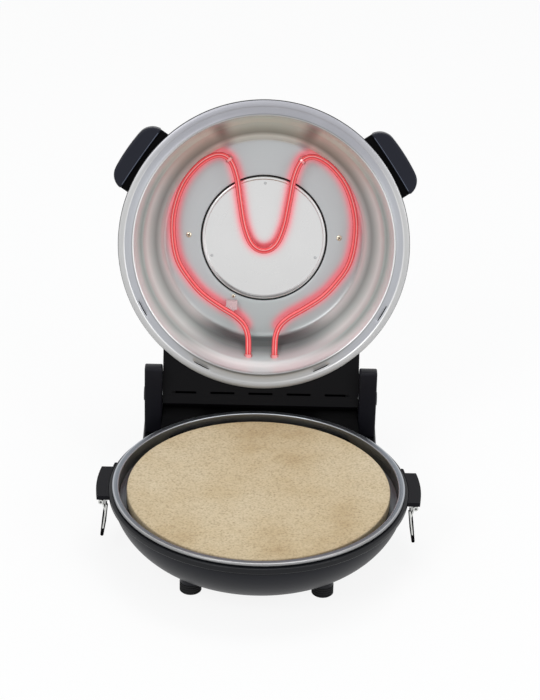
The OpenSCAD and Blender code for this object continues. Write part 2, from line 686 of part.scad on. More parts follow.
module upper_heater_bushings() color("#b9bbbe") lid_open() for (s = SIDES) difference() {
    union() {
        rod_y([s * heater_end.x, bush_y, heater_end.z], tube_r + 1.4, 10);
        translate([s * heater_end.x, bush_y + 7.6, heater_end.z]) rotate([-90, 0, 0])
            cylinder(r = tube_r + 3.4, h = 3, $fn = 6);
    }
    rod_y([s * heater_end.x, bush_y - 20, heater_end.z], tube_r + 0.25, 40);
}
bush_y = wall_r - 17.4;

// A steel ring round the heater, on a short post behind it
module heater_bracket() color("#c3c4c4") lid_open()
    translate(concat(on_loop(HEATER_HALF[15].x, HEATER_HALF[15].y), rim_z)) {
        back = tube_level + tube_r + 0.6;
        difference() {
            union() {
                translate([0, 0, tube_level]) rotate(bracket_turn) rod_y([0, -1.5, 0], tube_r + 1.4, 3);
                translate([0, 0, back]) cylinder(r = 1.4, h = liner_depth - back - eps);
                translate([0, 0, liner_depth - 1.2]) cylinder(r = 4.5, h = 1.2 - eps);
            }
            translate([0, 0, tube_level]) rotate(bracket_turn) rod_y([0, -10, 0], tube_r + 0.4, 20);
        }
    }
bracket_turn = atan2(HEATER_HALF[14].x - HEATER_HALF[16].x, HEATER_HALF[16].y - HEATER_HALF[14].y);
module heater_bracket_left() side(-1) heater_bracket();
module heater_bracket_right() heater_bracket();

// A pale ceramic block on the floor, with a saddle that the heater passes in front of
module heater_clip() color("#e6e2d8") lid_open() translate(concat(on_loop(-37.9, 81.2), rim_z)) {
    low = tube_level + tube_r + move_gap;
    translate([-2.5, -12, liner_depth - 9]) cube([13.5, 11, 9 - eps]);
    rotate(31) translate([-6, -5.2, low]) cube([12, 10.4, 3]);
    rotate(31) translate([-4, -4, low]) cube([8, 8, liner_depth - low - eps]);
}

module liner_screws() color("#8d8f90") lid_open() translate([0, 0, rim_z]) for (p = SCREWS) at_screw(p) {
    translate([0, 0, -1.6]) cylinder(r = p[2], h = 1.6 - eps);
    translate([0, 0, -0.5]) cylinder(r = 1.5, h = 2.6);
}

// Outline of a handle: [along the rim, out from the lid's centre]
handle_round = 20;
handle_r = shell_rim_r + handle_out - 1.2;
crease_r = shell_rim_r + 7;
handle_start = asin((crease_r - handle_r + handle_round) / handle_round);
handle_corner = [handle_half - handle_round, handle_r - handle_round];
handle_outline = concat(
    arc(handle_corner, handle_round, handle_start, 80, 8),
    [for (i = [-4:4]) let (x = -i / 4 * (handle_corner.x - 1)) [x, handle_r + 1.2 - 0.06 * i * i]],
    arc([-handle_corner.x, handle_corner.y], handle_round, 100, 180 - handle_start, 8)
);

module lid_handle() color("#262832") lid_open() difference() {
    rotate(-90 - handle_turn) translate([0, 0, rim_z]) {
        translate([0, 0, 2.2]) linear_extrude(handle_t) polygon(handle_outline);
        translate([0.5 - handle_half, dome_r - 18, 6.5])
            cube([2 * handle_half - 1, crease_r + 20 - dome_r, 9]);
    }
    dome_solid(seat_gap);
}
module lid_handle_left() side(-1) lid_handle();
module lid_handle_right() lid_handle();

neck_panel_y = hinge_y - 1;
slot_y = neck_panel_y - 1.6 - slot_w;
neck_outline = concat(
    [[neck_front, neck_low + neck_wall], [neck_panel_y, neck_low + neck_wall], [neck_panel_y, neck_low]],
    arc([hinge_y, hinge_z], neck_barrel_r, -asin((hinge_z - neck_low) / neck_barrel_r), 40, 12),
    [[hinge_y - 8, neck_top], [hinge_y - 30, neck_top + 6], [neck_front, neck_top + 8]]
);
cheek = bush_len + 2;
stop_x = 70;
peg_y = hinge_y - 27;

// Plan of the neck with its two rear corners rounded
module neck_plan() {
    rear = hinge_y + neck_barrel_r;
    translate([-neck_x, neck_front]) square([2 * neck_x, rear - neck_corner - neck_front]);
    translate([neck_corner - neck_x, neck_front]) square([2 * (neck_x - neck_corner), rear - neck_front]);
    for (s = SIDES) translate([s * (neck_x - neck_corner), rear - neck_corner]) circle(r = neck_corner);
}

module lid_neck() color("#1d1e23") {
    lid_open() difference() {
        intersection() {
            across(-neck_x, neck_x) polygon(neck_outline);
            translate([0, 0, neck_low]) linear_extrude(60) neck_plan();
        }
        dome_solid(seat_gap);
        across(cheek - neck_x, neck_x - cheek) polygon([
            [neck_front - 1, neck_low], [neck_panel_y - 2, neck_low], [neck_panel_y + 6, neck_low + 6],
            [hinge_y + 4, hinge_z + 8], [hinge_y - 9, neck_top - neck_wall],
            [hinge_y - 30, neck_top + 6 - neck_wall], [neck_front - 1, neck_top + 8 - neck_wall]
        ]);
        for (s = SIDES) rod_x([s * (neck_x - bush_len / 2) - bush_len / 2 - 0.5, hinge_y, hinge_z],
            bush_r + seat_gap / 2, bush_len + 1);
        for (s = SIDES) translate([s * (neck_x - 7), peg_y, neck_low]) cylinder(r = 2 + run_gap, h = 9);
    }
    // The stop comes down on the ridge of the housing when the lid is open
    across(-stop_x, stop_x) polygon([
        [hinge_y + 3, hinge_z - 11], [hinge_y + 9, house_ridge + move_gap],
        [hinge_y + 17, house_ridge + move_gap], [hinge_y + 19, hinge_z - 5], [hinge_y + 12, hinge_z - 3]
    ]);
}

module neck_panel() color("#1d1e23") lid_open() {
    difference() {
        translate([-neck_x, neck_front, neck_low])
            cube([2 * neck_x, neck_panel_y - seat_gap - neck_front, neck_wall - seat_gap]);
        dome_solid(seat_gap);
        for (i = [0:slot_n - 1])
            translate([(i - (slot_n - 1) / 2) * slot_pitch - slot_len / 2, slot_y, neck_low - 1])
                cube([slot_len, slot_w, neck_wall + 2]);
    }
    for (s = SIDES) translate([s * (neck_x - 7), peg_y, neck_low + 1]) cylinder(r = 2, h = 7);
}

module hinge_bush() color("#d7d3c6") lid_open() difference() {
    rod_x([neck_x - bush_len, hinge_y, hinge_z], bush_r, bush_len);
    rod_x([neck_x - bush_len - 1, hinge_y, hinge_z], pin_r + run_gap, bush_len + 2);
}
module hinge_bush_left() side(-1) hinge_bush();
module hinge_bush_right() hinge_bush();

// ---- Controls on the lid ----------------------------------------------------

pod_z = rim_z + dome_h;
shaft_r = 3;

module control_housing() color("#202127") lid_open() translate([0, 0, pod_z]) difference() {
    lathe(concat([[0, pod_h - 2.4], [pod_r - 9, pod_h - 2.4]],
        reversed(arc([pod_r - 9, pod_h - 9], 6.6, 0, 90, 6)), [[pod_r - 2.4, seat_gap], [pod_r, seat_gap]],
        arc([pod_r - 9, pod_h - 9], 9, 0, 90, 8), [[0, pod_h]]));
    for (s = SIDES) translate([s * knob_x, 0, pod_h - 5]) cylinder(r = shaft_r + 1.5, h = 8);
    translate([0, -30, pod_h - 5]) cylinder(r = 4, h = 8);
}

module control_unit(x, w, h) lid_open() translate([x, 0, pod_z]) {
    translate([-w / 2, -w / 2, seat_gap]) cube([w, w, h]);
    translate([0, 0, 1]) cylinder(r = shaft_r, h = pod_h + 8);
}
module timer_unit() color("#8c8f94") control_unit(-knob_x, 2 * knob_r, pod_h - 8);
module thermostat_unit() color("#8c8f94") control_unit(knob_x, 2 * knob_r - 4, pod_h - 10);

module knob(x) lid_open() translate([x, 0, pod_z + pod_h + move_gap]) difference() {
    union() {
        lathe([[0, 0], [knob_r + 3, 0], [knob_r + 3, 1.4], [knob_r, 3], [knob_r - 1, knob_h - 2],
            [knob_r - 3, knob_h], [0, knob_h]]);
        translate([-2, 0, knob_h - 3]) cube([4, knob_r - 1.5, 4]);
    }
    for (i = [0:23]) if (i != 6) rotate(15 * i) translate([knob_r + 0.4, 0, 3.2])
        cylinder(r = 1.1, h = knob_h);
    translate([0, 0, -1]) cylinder(r = shaft_r + run_gap, h = 10);
}
module timer_knob() color("#2a2b30") knob(-knob_x);
module thermostat_knob() color("#2a2b30") knob(knob_x);

module pilot_lamp() color("#d8362a") lid_open() translate([0, -30, pod_z]) {
    translate([0, 0, pod_h - 8]) cylinder(r = 4 - seat_gap, h = 9);
    translate([0, 0, pod_h - 8]) cylinder(r = 5.5, h = 5.6 - seat_gap);
}

// ---- Nodes -------------------------------------------------------------------

base_bowl();
bowl_lip();
steel_pan();
baking_stone();
lower_heater();
heater_saddles();
lower_heater_bushings();
heat_shield();
centre_bolt();
bottom_hatch();
hatch_screws();
foot_front_left();
foot_front_right();
foot_rear_left();
foot_rear_right();
foot_screws();
rear_housing();
rear_cover();
rear_cover_screws();
cord_gland();
terminal_block();
hinge_post_left();
hinge_post_right();
hinge_pin_left();
hinge_pin_right();
latch_ear_left();
latch_ear_right();
latch_pin_left();
latch_pin_right();
latch_lever_left();
latch_lever_right();
latch_grip_left();
latch_grip_right();
lid_shell();
lid_liner();
reflector_disc();
disc_carrier();
upper_heater();
upper_heater_bushings();
heater_bracket_left();
heater_bracket_right();
heater_clip();
liner_screws();
lid_handle_left();
lid_handle_right();
lid_neck();
neck_panel();
hinge_bush_left();
hinge_bush_right();
control_housing();
timer_unit();
thermostat_unit();
timer_knob();
thermostat_knob();
pilot_lamp();
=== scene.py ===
# %% [markdown]
# # An electric pizza maker
# The oven is a round charcoal bowl with a baking stone in a steel pan.  A domed lid with a steel
# lining stands open behind it on a black neck.  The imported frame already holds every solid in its
# place, so the script only dresses it: finer shapes where the eye is close, and a finish for all.

# %% Load the frame
import json
import math

import bmesh
import bpy
from mathutils import Matrix, Vector


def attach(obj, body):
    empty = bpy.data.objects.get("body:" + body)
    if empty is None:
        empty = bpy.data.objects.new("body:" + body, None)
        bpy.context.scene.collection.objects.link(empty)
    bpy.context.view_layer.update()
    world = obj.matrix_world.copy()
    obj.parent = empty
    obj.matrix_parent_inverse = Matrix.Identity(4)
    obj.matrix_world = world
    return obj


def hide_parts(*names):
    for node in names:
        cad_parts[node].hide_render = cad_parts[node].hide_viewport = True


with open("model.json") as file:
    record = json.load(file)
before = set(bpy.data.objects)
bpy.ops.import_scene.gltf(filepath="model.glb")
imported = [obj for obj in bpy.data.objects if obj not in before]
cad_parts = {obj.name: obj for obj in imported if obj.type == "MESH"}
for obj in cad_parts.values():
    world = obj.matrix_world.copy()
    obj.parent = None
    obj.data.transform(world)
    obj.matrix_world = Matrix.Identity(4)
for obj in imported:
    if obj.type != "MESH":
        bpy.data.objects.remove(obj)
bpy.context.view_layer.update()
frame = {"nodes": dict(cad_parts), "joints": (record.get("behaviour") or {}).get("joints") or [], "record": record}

print("nodes in the frame:", len(frame["nodes"]))

# %% [markdown]
# Sizes come from the frame, so a changed solid changes its dressing too.  Outlines are easier to
# read in millimetres, and everything is brought to metres in one place.  The lid's pieces are
# drawn as if the lid were shut, flat above the bowl, and then turned back about the hinge.

# %% Sizes from the frame
MM = 0.001
joints = {joint["name"]: joint for joint in frame["joints"]}
HINGE = Vector(joints["lid_hinge"]["pos_m"])
OPEN = math.radians(joints["lid_hinge"]["range_deg"][1])
LID = Matrix.Translation(HINGE) @ Matrix.Rotation(-OPEN, 4, "X") @ Matrix.Translation(-HINGE)
BASE = Matrix.Identity(4)


def reach(node, place=BASE):
    """The lowest and highest corner of a node in mm, seen in the given piece's own place."""
    back = place.inverted()
    points = [back @ vertex.co for vertex in frame["nodes"][node].data.vertices]
    low = Vector([min(point[axis] for point in points) for axis in range(3)])
    high = Vector([max(point[axis] for point in points) for axis in range(3)])
    return low / MM, high / MM


ring_low, ring_high = reach("steel_pan")
lip_low, lip_high = reach("bowl_lip")
bowl_low, bowl_high = reach("base_bowl")
stone_low, stone_high = reach("baking_stone")
liner_low, liner_high = reach("lid_liner", LID)
shell_high = reach("lid_shell", LID)[1]
RIM = liner_low.z
print("ring, lip and stone radius:", round(ring_high.x, 1), round(lip_high.x, 1), round(stone_high.x, 1))
print("liner's rim lies at", round(RIM, 1), "and its flange reaches", round(liner_high.x, 1))

# %% [markdown]
# The camera stands in front of the oven, well above it, and looks down into the open lid.  It is
# far away with a long lens, so the round rims stay nearly true ellipses.

# %% Camera
CAMERA_AT = Vector((-6.6, -2715.4, 1749.0)) * MM
LOOK_DOWN = math.radians(28.715)
LOOK_RIGHT = math.radians(0.331)
TILT = math.radians(1.446)
LENS = 141.83

camera_data = bpy.data.cameras.new("camera")
camera_data.lens = LENS
camera_data.sensor_width = 36
camera_data.clip_end = 40
camera = bpy.data.objects.new("camera", camera_data)
bpy.context.scene.collection.objects.link(camera)
turn = Matrix.Rotation(-LOOK_RIGHT, 4, "Z") @ Matrix.Rotation(math.pi / 2 - LOOK_DOWN, 4, "X")
camera.matrix_world = Matrix.Translation(CAMERA_AT) @ turn @ Matrix.Rotation(TILT, 4, "Z")
bpy.context.scene.camera = camera
bpy.context.scene.view_settings.view_transform = "Standard"
print("camera stands", round(CAMERA_AT.length, 2), "m from the oven")

# %% [markdown]
# A finish is a small network of nodes round one shader.  Written as sums it reads like a recipe:
# `0.3 + 0.1 * grain` is a roughness that follows a grain.  The first class below lets Python's
# own signs build the Math nodes, and one method of the second makes every other kind of node.
# The third adds the shader and what every finish of this oven needs: a point, a grain, a blend
# of two colours and a bump.

# %% Sums of sockets
class Signal:
    """A number that comes out of a node and can be used in sums."""

    def __init__(self, network, socket):
        self.network = network
        self.socket = socket

    def _sum(self, operation, first, second):
        return self.network.node("ShaderNodeMath", {"operation": operation}, [first, second])

    def __add__(self, other):
        return self._sum("ADD", self, other)

    def __sub__(self, other):
        return self._sum("SUBTRACT", self, other)

    def __rsub__(self, other):
        return self._sum("SUBTRACT", other, self)

    def __mul__(self, other):
        return self._sum("MULTIPLY", self, other)

    def __truediv__(self, other):
        return self._sum("DIVIDE", self, other)

    def __pow__(self, other):
        return self._sum("POWER", self, other)

    __radd__ = __add__
    __rmul__ = __mul__


class Network:
    """The nodes of a material or of the world."""

    def __init__(self, tree):
        self.tree = tree

    def feed(self, socket, value):
        if isinstance(value, Signal):
            self.tree.links.new(value.socket, socket)
        else:
            socket.default_value = value

    def node(self, kind, settings=None, inputs=(), output=0):
        """Makes a node: first its settings, then the values or links of its sockets."""
        made = self.tree.nodes.new(kind)
        for key, value in (settings or {}).items():
            if key == "stops":
                self.ramp(made.color_ramp.elements, value)
            else:
                setattr(made, key, value)
        named = inputs.items() if isinstance(inputs, dict) else enumerate(inputs)
        for key, value in named:
            self.feed(made.inputs[key], value)
        return Signal(self, made.outputs[output])

    @staticmethod
    def ramp(elements, stops):
        while len(elements) < len(stops):
            elements.new(1.0)
        for element, (place, colour) in zip(elements, stops):
            element.position = place
            element.color = (*colour, 1)

    def outputs(self, made, names):
        """Several outputs of the node that a signal comes from."""
        return [Signal(self, made.socket.node.outputs[name]) for name in names]

    def seen(self):
        """1 where the camera, a reflection or clear glass looks, 0 for light that falls on things."""
        kinds = ("Is Camera Ray", "Is Glossy Ray", "Is Transmission Ray")
        camera_ray, glossy_ray, clear_ray = self.outputs(self.node("ShaderNodeLightPath"), kinds)
        return camera_ray + glossy_ray + clear_ray


class Finish(Network):
    """One material: its name, its shader and the nodes that feed it."""

    def __init__(self, name, colour, rough, metal=0.0, shine=0.5):
        self.material = bpy.data.materials.new(name)
        self.material.use_nodes = True
        super().__init__(self.material.node_tree)
        self.shader = self.tree.nodes["Principled BSDF"]
        self.set("Base Color", (*colour, 1))
        self.set("Roughness", rough)
        self.set("Metallic", metal)
        self.set("Specular IOR Level", shine)

    def set(self, socket, value):
        self.feed(self.shader.inputs[socket], value)

    def point(self):
        """The point on the piece, in metres."""
        return self.node("ShaderNodeTexCoord", output="Object")

    def where(self):
        """The same point as three numbers."""
        return self.outputs(self.node("ShaderNodeSeparateXYZ", inputs=[self.point()]), "XYZ")

    def stored(self, name):
        """A number that is kept with the points of the mesh."""
        return self.node("ShaderNodeAttribute", {"attribute_name": name}, output="Fac")

    def noise(self, vector, scale, detail=2.0, rough=0.5):
        inputs = {"Vector": vector, "Scale": scale, "Detail": detail, "Roughness": rough}
        return self.node("ShaderNodeTexNoise", inputs=inputs, output="Fac")

    def mix(self, amount, first, second):
        """Blends two colours, which go into the sockets 6 and 7 of a Mix node."""
        colours = [value if isinstance(value, Signal) else (*value, 1) for value in (first, second)]
        inputs = {"Factor": amount, 6: colours[0], 7: colours[1]}
        return self.node("ShaderNodeMix", {"data_type": "RGBA"}, inputs, output=2)

    def bump(self, height, strength, distance):
        inputs = {"Strength": strength, "Distance": distance, "Height": height}
        self.set("Normal", self.node("ShaderNodeBump", inputs=inputs, output="Normal"))


def lin(shade):
    """A screen shade of 0 to 255 as the linear number that a shader takes."""
    part = shade / 255
    return part / 12.92 if part <= 0.04045 else ((part + 0.055) / 1.055) ** 2.4


def tone(red, green, blue):
    return lin(red), lin(green), lin(blue)


print("a mid grey of 128 is", round(lin(128), 3), "in linear light")

# %% [markdown]
# Moulded plastic is not smooth.  A fine spark-eroded grain breaks up its shine, and handling
# leaves slightly glossier patches.  One function makes these finishes, from the dull grips to the
# glossy housing, because only the shade, the roughness, the shine and the grain's depth differ.

# %% Moulded plastic
def moulded(name, shade, rough, grain=0.25, shine=0.3):
    finish = Finish(name, tone(*shade), rough, shine=shine)
    point = finish.point()
    fine = finish.noise(point, 1600, 3)
    patches = finish.noise(point, 14, 2)
    finish.set("Roughness", rough + 0.10 * (patches - 0.5) + 0.06 * (fine - 0.5))
    lighter = tone(*[value * 1.18 + 2 for value in shade])
    finish.set("Base Color", finish.mix(0.6 * patches, tone(*shade), lighter))
    finish.bump(fine, grain, 0.00012)
    return finish.material


# %% [markdown]
# The bowl is the largest plastic piece.  Its satin skin is painted a little paler towards the bottom, a painted
# reflection of the white table below it, so the shade runs with the height.

# %% Bowl plastic
def bowl_plastic():
    bowl_top, bowl_foot = 0.070, 0.012
    finish = Finish("bowl_plastic", tone(30, 31, 34), 0.45, shine=0.12)
    point = finish.point()
    height = finish.where()[2]
    fine = finish.noise(point, 1500, 3)
    patches = finish.noise(point, 9, 2)
    # Painted reflection of the white table: the colour grows paler towards the bottom.
    low = finish.node("ShaderNodeMapRange", inputs=[height, bowl_top, bowl_foot, 0.0, 1.0])
    colour = finish.mix(low, tone(30, 31, 35), tone(38, 38, 41))
    finish.set("Base Color", finish.mix(0.2 * patches, colour, tone(54, 55, 60)))
    finish.set("Roughness", 0.40 + 0.12 * (patches - 0.5) + 0.05 * (fine - 0.5))
    finish.bump(fine, 0.2, 0.00012)
    return finish.material


# %% [markdown]
# Steel that is pressed while it spins keeps fine rings round its centre.  The rings are a noise
# that runs quickly outwards and hardly at all along a circle: the place on the circle goes in as
# x / r and y / r, which have no seam.  The rings are slightly rougher and paler, with a low bump.
# A large pressing isn't one even grey: its shades are painted reflections, highlights and shade, which differ
# round it, so they are given for several bearings, from the far side round to the hinge.  Steel that faces a hot
# tube also reads the number `glow` of its mesh: there its colour is painted pink and it gives off a little red
# light, a painted glow.

# %% Spun steel
def as_tone(shade):
    """A grey may be written as one number."""
    return tone(*shade) if isinstance(shade, tuple) else tone(shade, shade, shade)


def banded(finish, bearings, radius, sine):
    """Shades by radius in mm, blended from one bearing to the next."""
    band = None
    before = None
    for here, shades in bearings:
        last = shades[-1][0]
        stops = [(distance / last, as_tone(shade)) for distance, shade in shades]
        ramp = finish.node("ShaderNodeValToRGB", {"stops": stops}, [radius / (last * MM)])
        if band is None:
            band = ramp
        else:
            soft = {"interpolation_type": "SMOOTHSTEP"}
            share = finish.node("ShaderNodeMapRange", soft, [sine, before, here, 0.0, 1.0])
            band = finish.mix(share, band, ramp)
        before = here
    return band


def spun_steel(name, bearings, rough, rings=0.35, cloud=0.0, metal=1.0, streak=0.22, lit=False):
    """Bearings are (sine of the bearing, [(radius in mm, shade), ...]), from the far side round."""
    finish = Finish(name, tone(180, 182, 184), rough, metal=metal)
    x, y, z = finish.where()
    radius = (x * x + y * y + 0.000001) ** 0.5
    spokes = [radius * 1900, 1.6 * x / radius, 1.6 * y / radius + z * 900]
    lathe = finish.noise(finish.node("ShaderNodeCombineXYZ", inputs=spokes), 1, 3, 0.6)
    cloudy = finish.noise(finish.point(), 22, 3)
    # Painted reflections, highlights and shade, given by radius and blended from bearing to bearing.
    band = banded(finish, bearings, radius, y / radius)
    streaky = finish.mix(streak * lathe, band, tone(236, 238, 240))
    worn = finish.mix(0.5 * streak * cloudy, streaky, tone(120, 124, 128))
    finish.set("Base Color", worn)
    finish.set("Roughness", rough + 0.16 * (lathe - 0.5) + cloud * cloudy)
    finish.bump(lathe, rings, 0.00008)
    if lit:
        # Painted glow: near the hot tube the colour is painted pink and a weak red light is given off.
        glow = finish.stored("glow")
        finish.set("Base Color", finish.mix(0.85 * glow, worn, tone(255, 138, 150)))
        finish.set("Emission Color", finish.mix(glow, (0, 0, 0), (0.09, 0.009, 0.013)))
        finish.set("Emission Strength", 1.0)
    return finish.material


# %% [markdown]
# Small fittings are plain sheet or turned steel: zinc-plated screws, bright straps, dull bushes.
# They share a fine grain, drawn out along the hinge's pins and the latches' straps, with darker
# specks where the plating is thin.

# %% Fitting steel
def fitting_steel(name, shade, rough, direction=(1, 1, 1)):
    finish = Finish(name, tone(*shade), rough, metal=1.0)
    stretch = finish.node("ShaderNodeMapping", inputs={"Vector": finish.point(), "Scale": direction})
    grain = finish.noise(stretch, 900, 3)
    specks = finish.noise(finish.point(), 260, 2)
    darker = tone(*[value * 0.72 for value in shade])
    finish.set("Base Color", finish.mix(specks ** 3, tone(*shade), darker))
    finish.set("Roughness", rough + 0.14 * (grain - 0.5))
    finish.bump(grain, 0.15, 0.00006)
    return finish.material


# %% [markdown]
# Cordierite, the clay of baking stones, is a pale sand colour with darker grit.  It is matte and
# slightly pitted, and use toasts it unevenly.  Two noises at different scales give the grit and
# the toasting, and the pits are the deepest part of the bump.

# %% Baked clay
def stone_finish():
    finish = Finish("stone_finish", tone(206, 190, 160), 0.9, shine=0.15)
    point = finish.point()
    toasted = finish.noise(point, 9, 4, 0.55)
    grit = finish.noise(point, 420, 2)
    pits = finish.node("ShaderNodeTexVoronoi", inputs={"Vector": point, "Scale": 170}, output="Distance")
    clay = [(0.30, tone(214, 199, 170)), (0.55, tone(203, 184, 150)), (0.75, tone(181, 156, 118))]
    warm = finish.node("ShaderNodeValToRGB", {"stops": clay}, [toasted])
    speckled = finish.mix(1.4 * (grit ** 3), warm, tone(128, 106, 78))
    finish.set("Base Color", speckled)
    finish.set("Roughness", 0.80 + 0.15 * grit)
    finish.bump(pits + 0.4 * grit, 0.5, 0.0005)
    return finish.material


# %% [markdown]
# A heater tube is oxidised steel with a smooth skin.  The lower one is cold and grey.  The upper one is hot: its
# colour is painted red as a painted glow, a weak red light of its own comes on top of it, and its skin still shows
# highlights, so it looks like metal and not like a neon sign.  The oxide mottles both.  Painted highlights and
# dark lines run along the glowing tube, by the number `turn` of its mesh, which goes from 0 to 1 round the tube.

# %% Heater tubes
DEEP_RED = tone(166, 20, 28)
# Painted highlights and dark lines round the glowing tube, read by its number `turn`.
TUBE_HIGHLIGHT_LINES = [
    (0.00, DEEP_RED), (0.55, tone(180, 26, 34)), (0.62, tone(255, 110, 112)), (0.67, tone(230, 60, 64)),
    (0.71, tone(255, 200, 198)), (0.74, tone(130, 26, 32)), (0.78, tone(226, 62, 68)),
    (0.86, tone(255, 140, 142)), (0.92, tone(200, 32, 40)), (1.00, DEEP_RED),
]


def heater_tube(name, glow=0.0):
    finish = Finish(name, tone(96, 94, 92), 0.3, shine=0.4)
    point = finish.point()
    oxide = finish.noise(point, 160, 3)
    hot = finish.noise(point, 26, 2)
    if glow:
        # Painted glow: a red colour with painted highlights and dark lines along the tube.
        highlight_lines = finish.node("ShaderNodeValToRGB", {"stops": TUBE_HIGHLIGHT_LINES}, [finish.stored("turn")])
        finish.set("Base Color", finish.mix(0.4 * hot, highlight_lines, tone(232, 44, 54)))
        finish.set("Emission Color", finish.mix(oxide, (0.62, 0.020, 0.030), (0.80, 0.045, 0.055)))
        finish.set("Emission Strength", glow)
        finish.set("Roughness", 0.20 + 0.12 * oxide)
    else:
        finish.set("Metallic", 0.6)
        finish.set("Base Color", finish.mix(oxide, tone(74, 72, 72), tone(122, 118, 114)))
        finish.set("Roughness", 0.45 + 0.25 * oxide)
    finish.bump(oxide, 0.12, 0.0002)
    return finish.material


# %% [markdown]
# Rubber feet, ceramic blocks and the lamp's lens finish the list.  Rubber is dull with a dusty
# bloom, fired ceramic is chalky with a few grey flecks, and the lens is a clear red gloss.

# %% Rubber, ceramic and lens
def rubber():
    finish = Finish("rubber", tone(24, 24, 25), 0.75, shine=0.2)
    bloom = finish.noise(finish.point(), 60, 3)
    finish.set("Base Color", finish.mix(bloom, tone(22, 22, 23), tone(38, 38, 39)))
    finish.set("Roughness", 0.68 + 0.2 * bloom)
    finish.bump(finish.noise(finish.point(), 900, 2), 0.2, 0.0001)
    return finish.material


def chalky(name, shade):
    finish = Finish(name, tone(*shade), 0.7, shine=0.3)
    flecks = finish.noise(finish.point(), 500, 2)
    darker = tone(*[value * 0.82 for value in shade])
    finish.set("Base Color", finish.mix(flecks ** 2, tone(*shade), darker))
    finish.set("Roughness", 0.62 + 0.2 * flecks)
    finish.bump(flecks, 0.2, 0.0001)
    return finish.material


def lens():
    finish = Finish("lens", tone(196, 44, 34), 0.12)
    cut = finish.noise(finish.point(), 300, 1)
    finish.set("Base Color", finish.mix(cut, tone(170, 30, 24), tone(214, 66, 48)))
    finish.set("Roughness", 0.08 + 0.1 * cut)
    return finish.material


# %% [markdown]
# The three large steel pressings get their shades, most of them painted reflections, highlights and shade.  The
# pan's rolled ring has painted highlights, brightest at its front, and the wall inside the ring is dark.  The disc
# is even, with a painted dark band and a painted highlight at its turned-up lip on the hinge side.  The lining's
# wall falls through painted dull and bright reflection rings: warm and dull on the far side, with one painted dark
# reflection patch on each side of it, pale and crisp at the sides, where it is tinted slightly green against the
# tube's red light, and with a painted dark reflection at its foot by the hinge.  Painted highlights and dark lines
# mark its curl and its flange.

# %% Shades of the large pressings
# The pan's ring: painted highlights, brightest at its front.
PAN_WALL = (60, 63, 68)
PAN_FRONT = [
    (0, (84, 86, 90)), (158, PAN_WALL), (161, PAN_WALL), (162, (140, 146, 154)), (163, (104, 110, 119)),
    (166, (104, 110, 119)), (166.7, 130), (167.3, 225), (168, 96), (169, 130),
]
PAN_BACK = [
    (0, (84, 86, 90)), (158, PAN_WALL), (161, PAN_WALL), (162, (180, 186, 194)), (163, (108, 115, 125)),
    (166.8, (112, 119, 128)), (167.6, (190, 195, 202)), (169, (96, 100, 106)),
]
PAN_SHADES = [(-0.75, PAN_FRONT), (0.1, PAN_BACK)]
# The disc: a painted dark band and a painted highlight at its lip on the hinge side.
DISC_FAR = [(0, 220), (76, 216)]
DISC_HINGE = [(0, 220), (70, 214), (72, 120), (73.5, 110), (74.4, 255), (76, 240)]
DISC_SHADES = [(0.2, DISC_FAR), (0.9, DISC_HINGE)]
FLOOR_GREY = (185, 188, 190)
# The lining: painted reflection rings, highlights and shade, by bearing.
LINER_FAR = [
    (0, FLOOR_GREY), (119, FLOOR_GREY), (122, (222, 224, 214)), (126, (230, 231, 220)),
    (131, (145, 146, 132)), (143, (205, 207, 192)), (154, (210, 212, 198)), (156.5, 178), (157.6, 92),
    (158.6, (145, 145, 152)), (174.5, (168, 168, 175)),
]
# A painted dark reflection patch on each side of the far side.
LINER_REFLECTION_PATCH = [
    (0, FLOOR_GREY), (121, FLOOR_GREY), (126, (190, 191, 180)), (131, (134, 135, 122)),
    (149, (134, 135, 122)), (156.5, 180), (157.6, 92), (158.6, (150, 150, 157)), (174.5, (168, 168, 175)),
]
LINER_SIDE = [
    (0, FLOOR_GREY), (119, FLOOR_GREY), (123, (222, 234, 231)), (131, (148, 162, 159)),
    (141, (226, 244, 240)), (148, (156, 172, 168)), (153.4, (216, 230, 227)), (155.4, 232),
    (156.8, 240), (157.6, 120), (158.6, (174, 176, 182)), (166.2, (170, 172, 178)), (166.9, 225),
    (168.4, 190), (174.5, 186),
]
LINER_HINGE = [
    (0, FLOOR_GREY), (119, (175, 182, 182)), (123, (60, 68, 68)), (131, (58, 66, 66)),
    (136, (112, 120, 120)), (143, (195, 204, 204)), (150, 235), (154, 225), (156.5, 96), (157.6, 92),
    (160, 170), (170, 170), (174.5, 90),
]
LINER_SHADES = [
    (-0.965, LINER_FAR), (-0.927, LINER_REFLECTION_PATCH), (-0.885, LINER_FAR),
    (-0.3, LINER_SIDE), (0.7, LINER_SIDE), (0.99, LINER_HINGE),
]
print("shades of the lining are given at", len(LINER_SHADES), "bearings")

# %% [markdown]
# Now each of the record's material slots gets its finish.  Every solid of the frame takes the
# finish of its slot, so nothing is left bare, and finer pieces may take another one later.

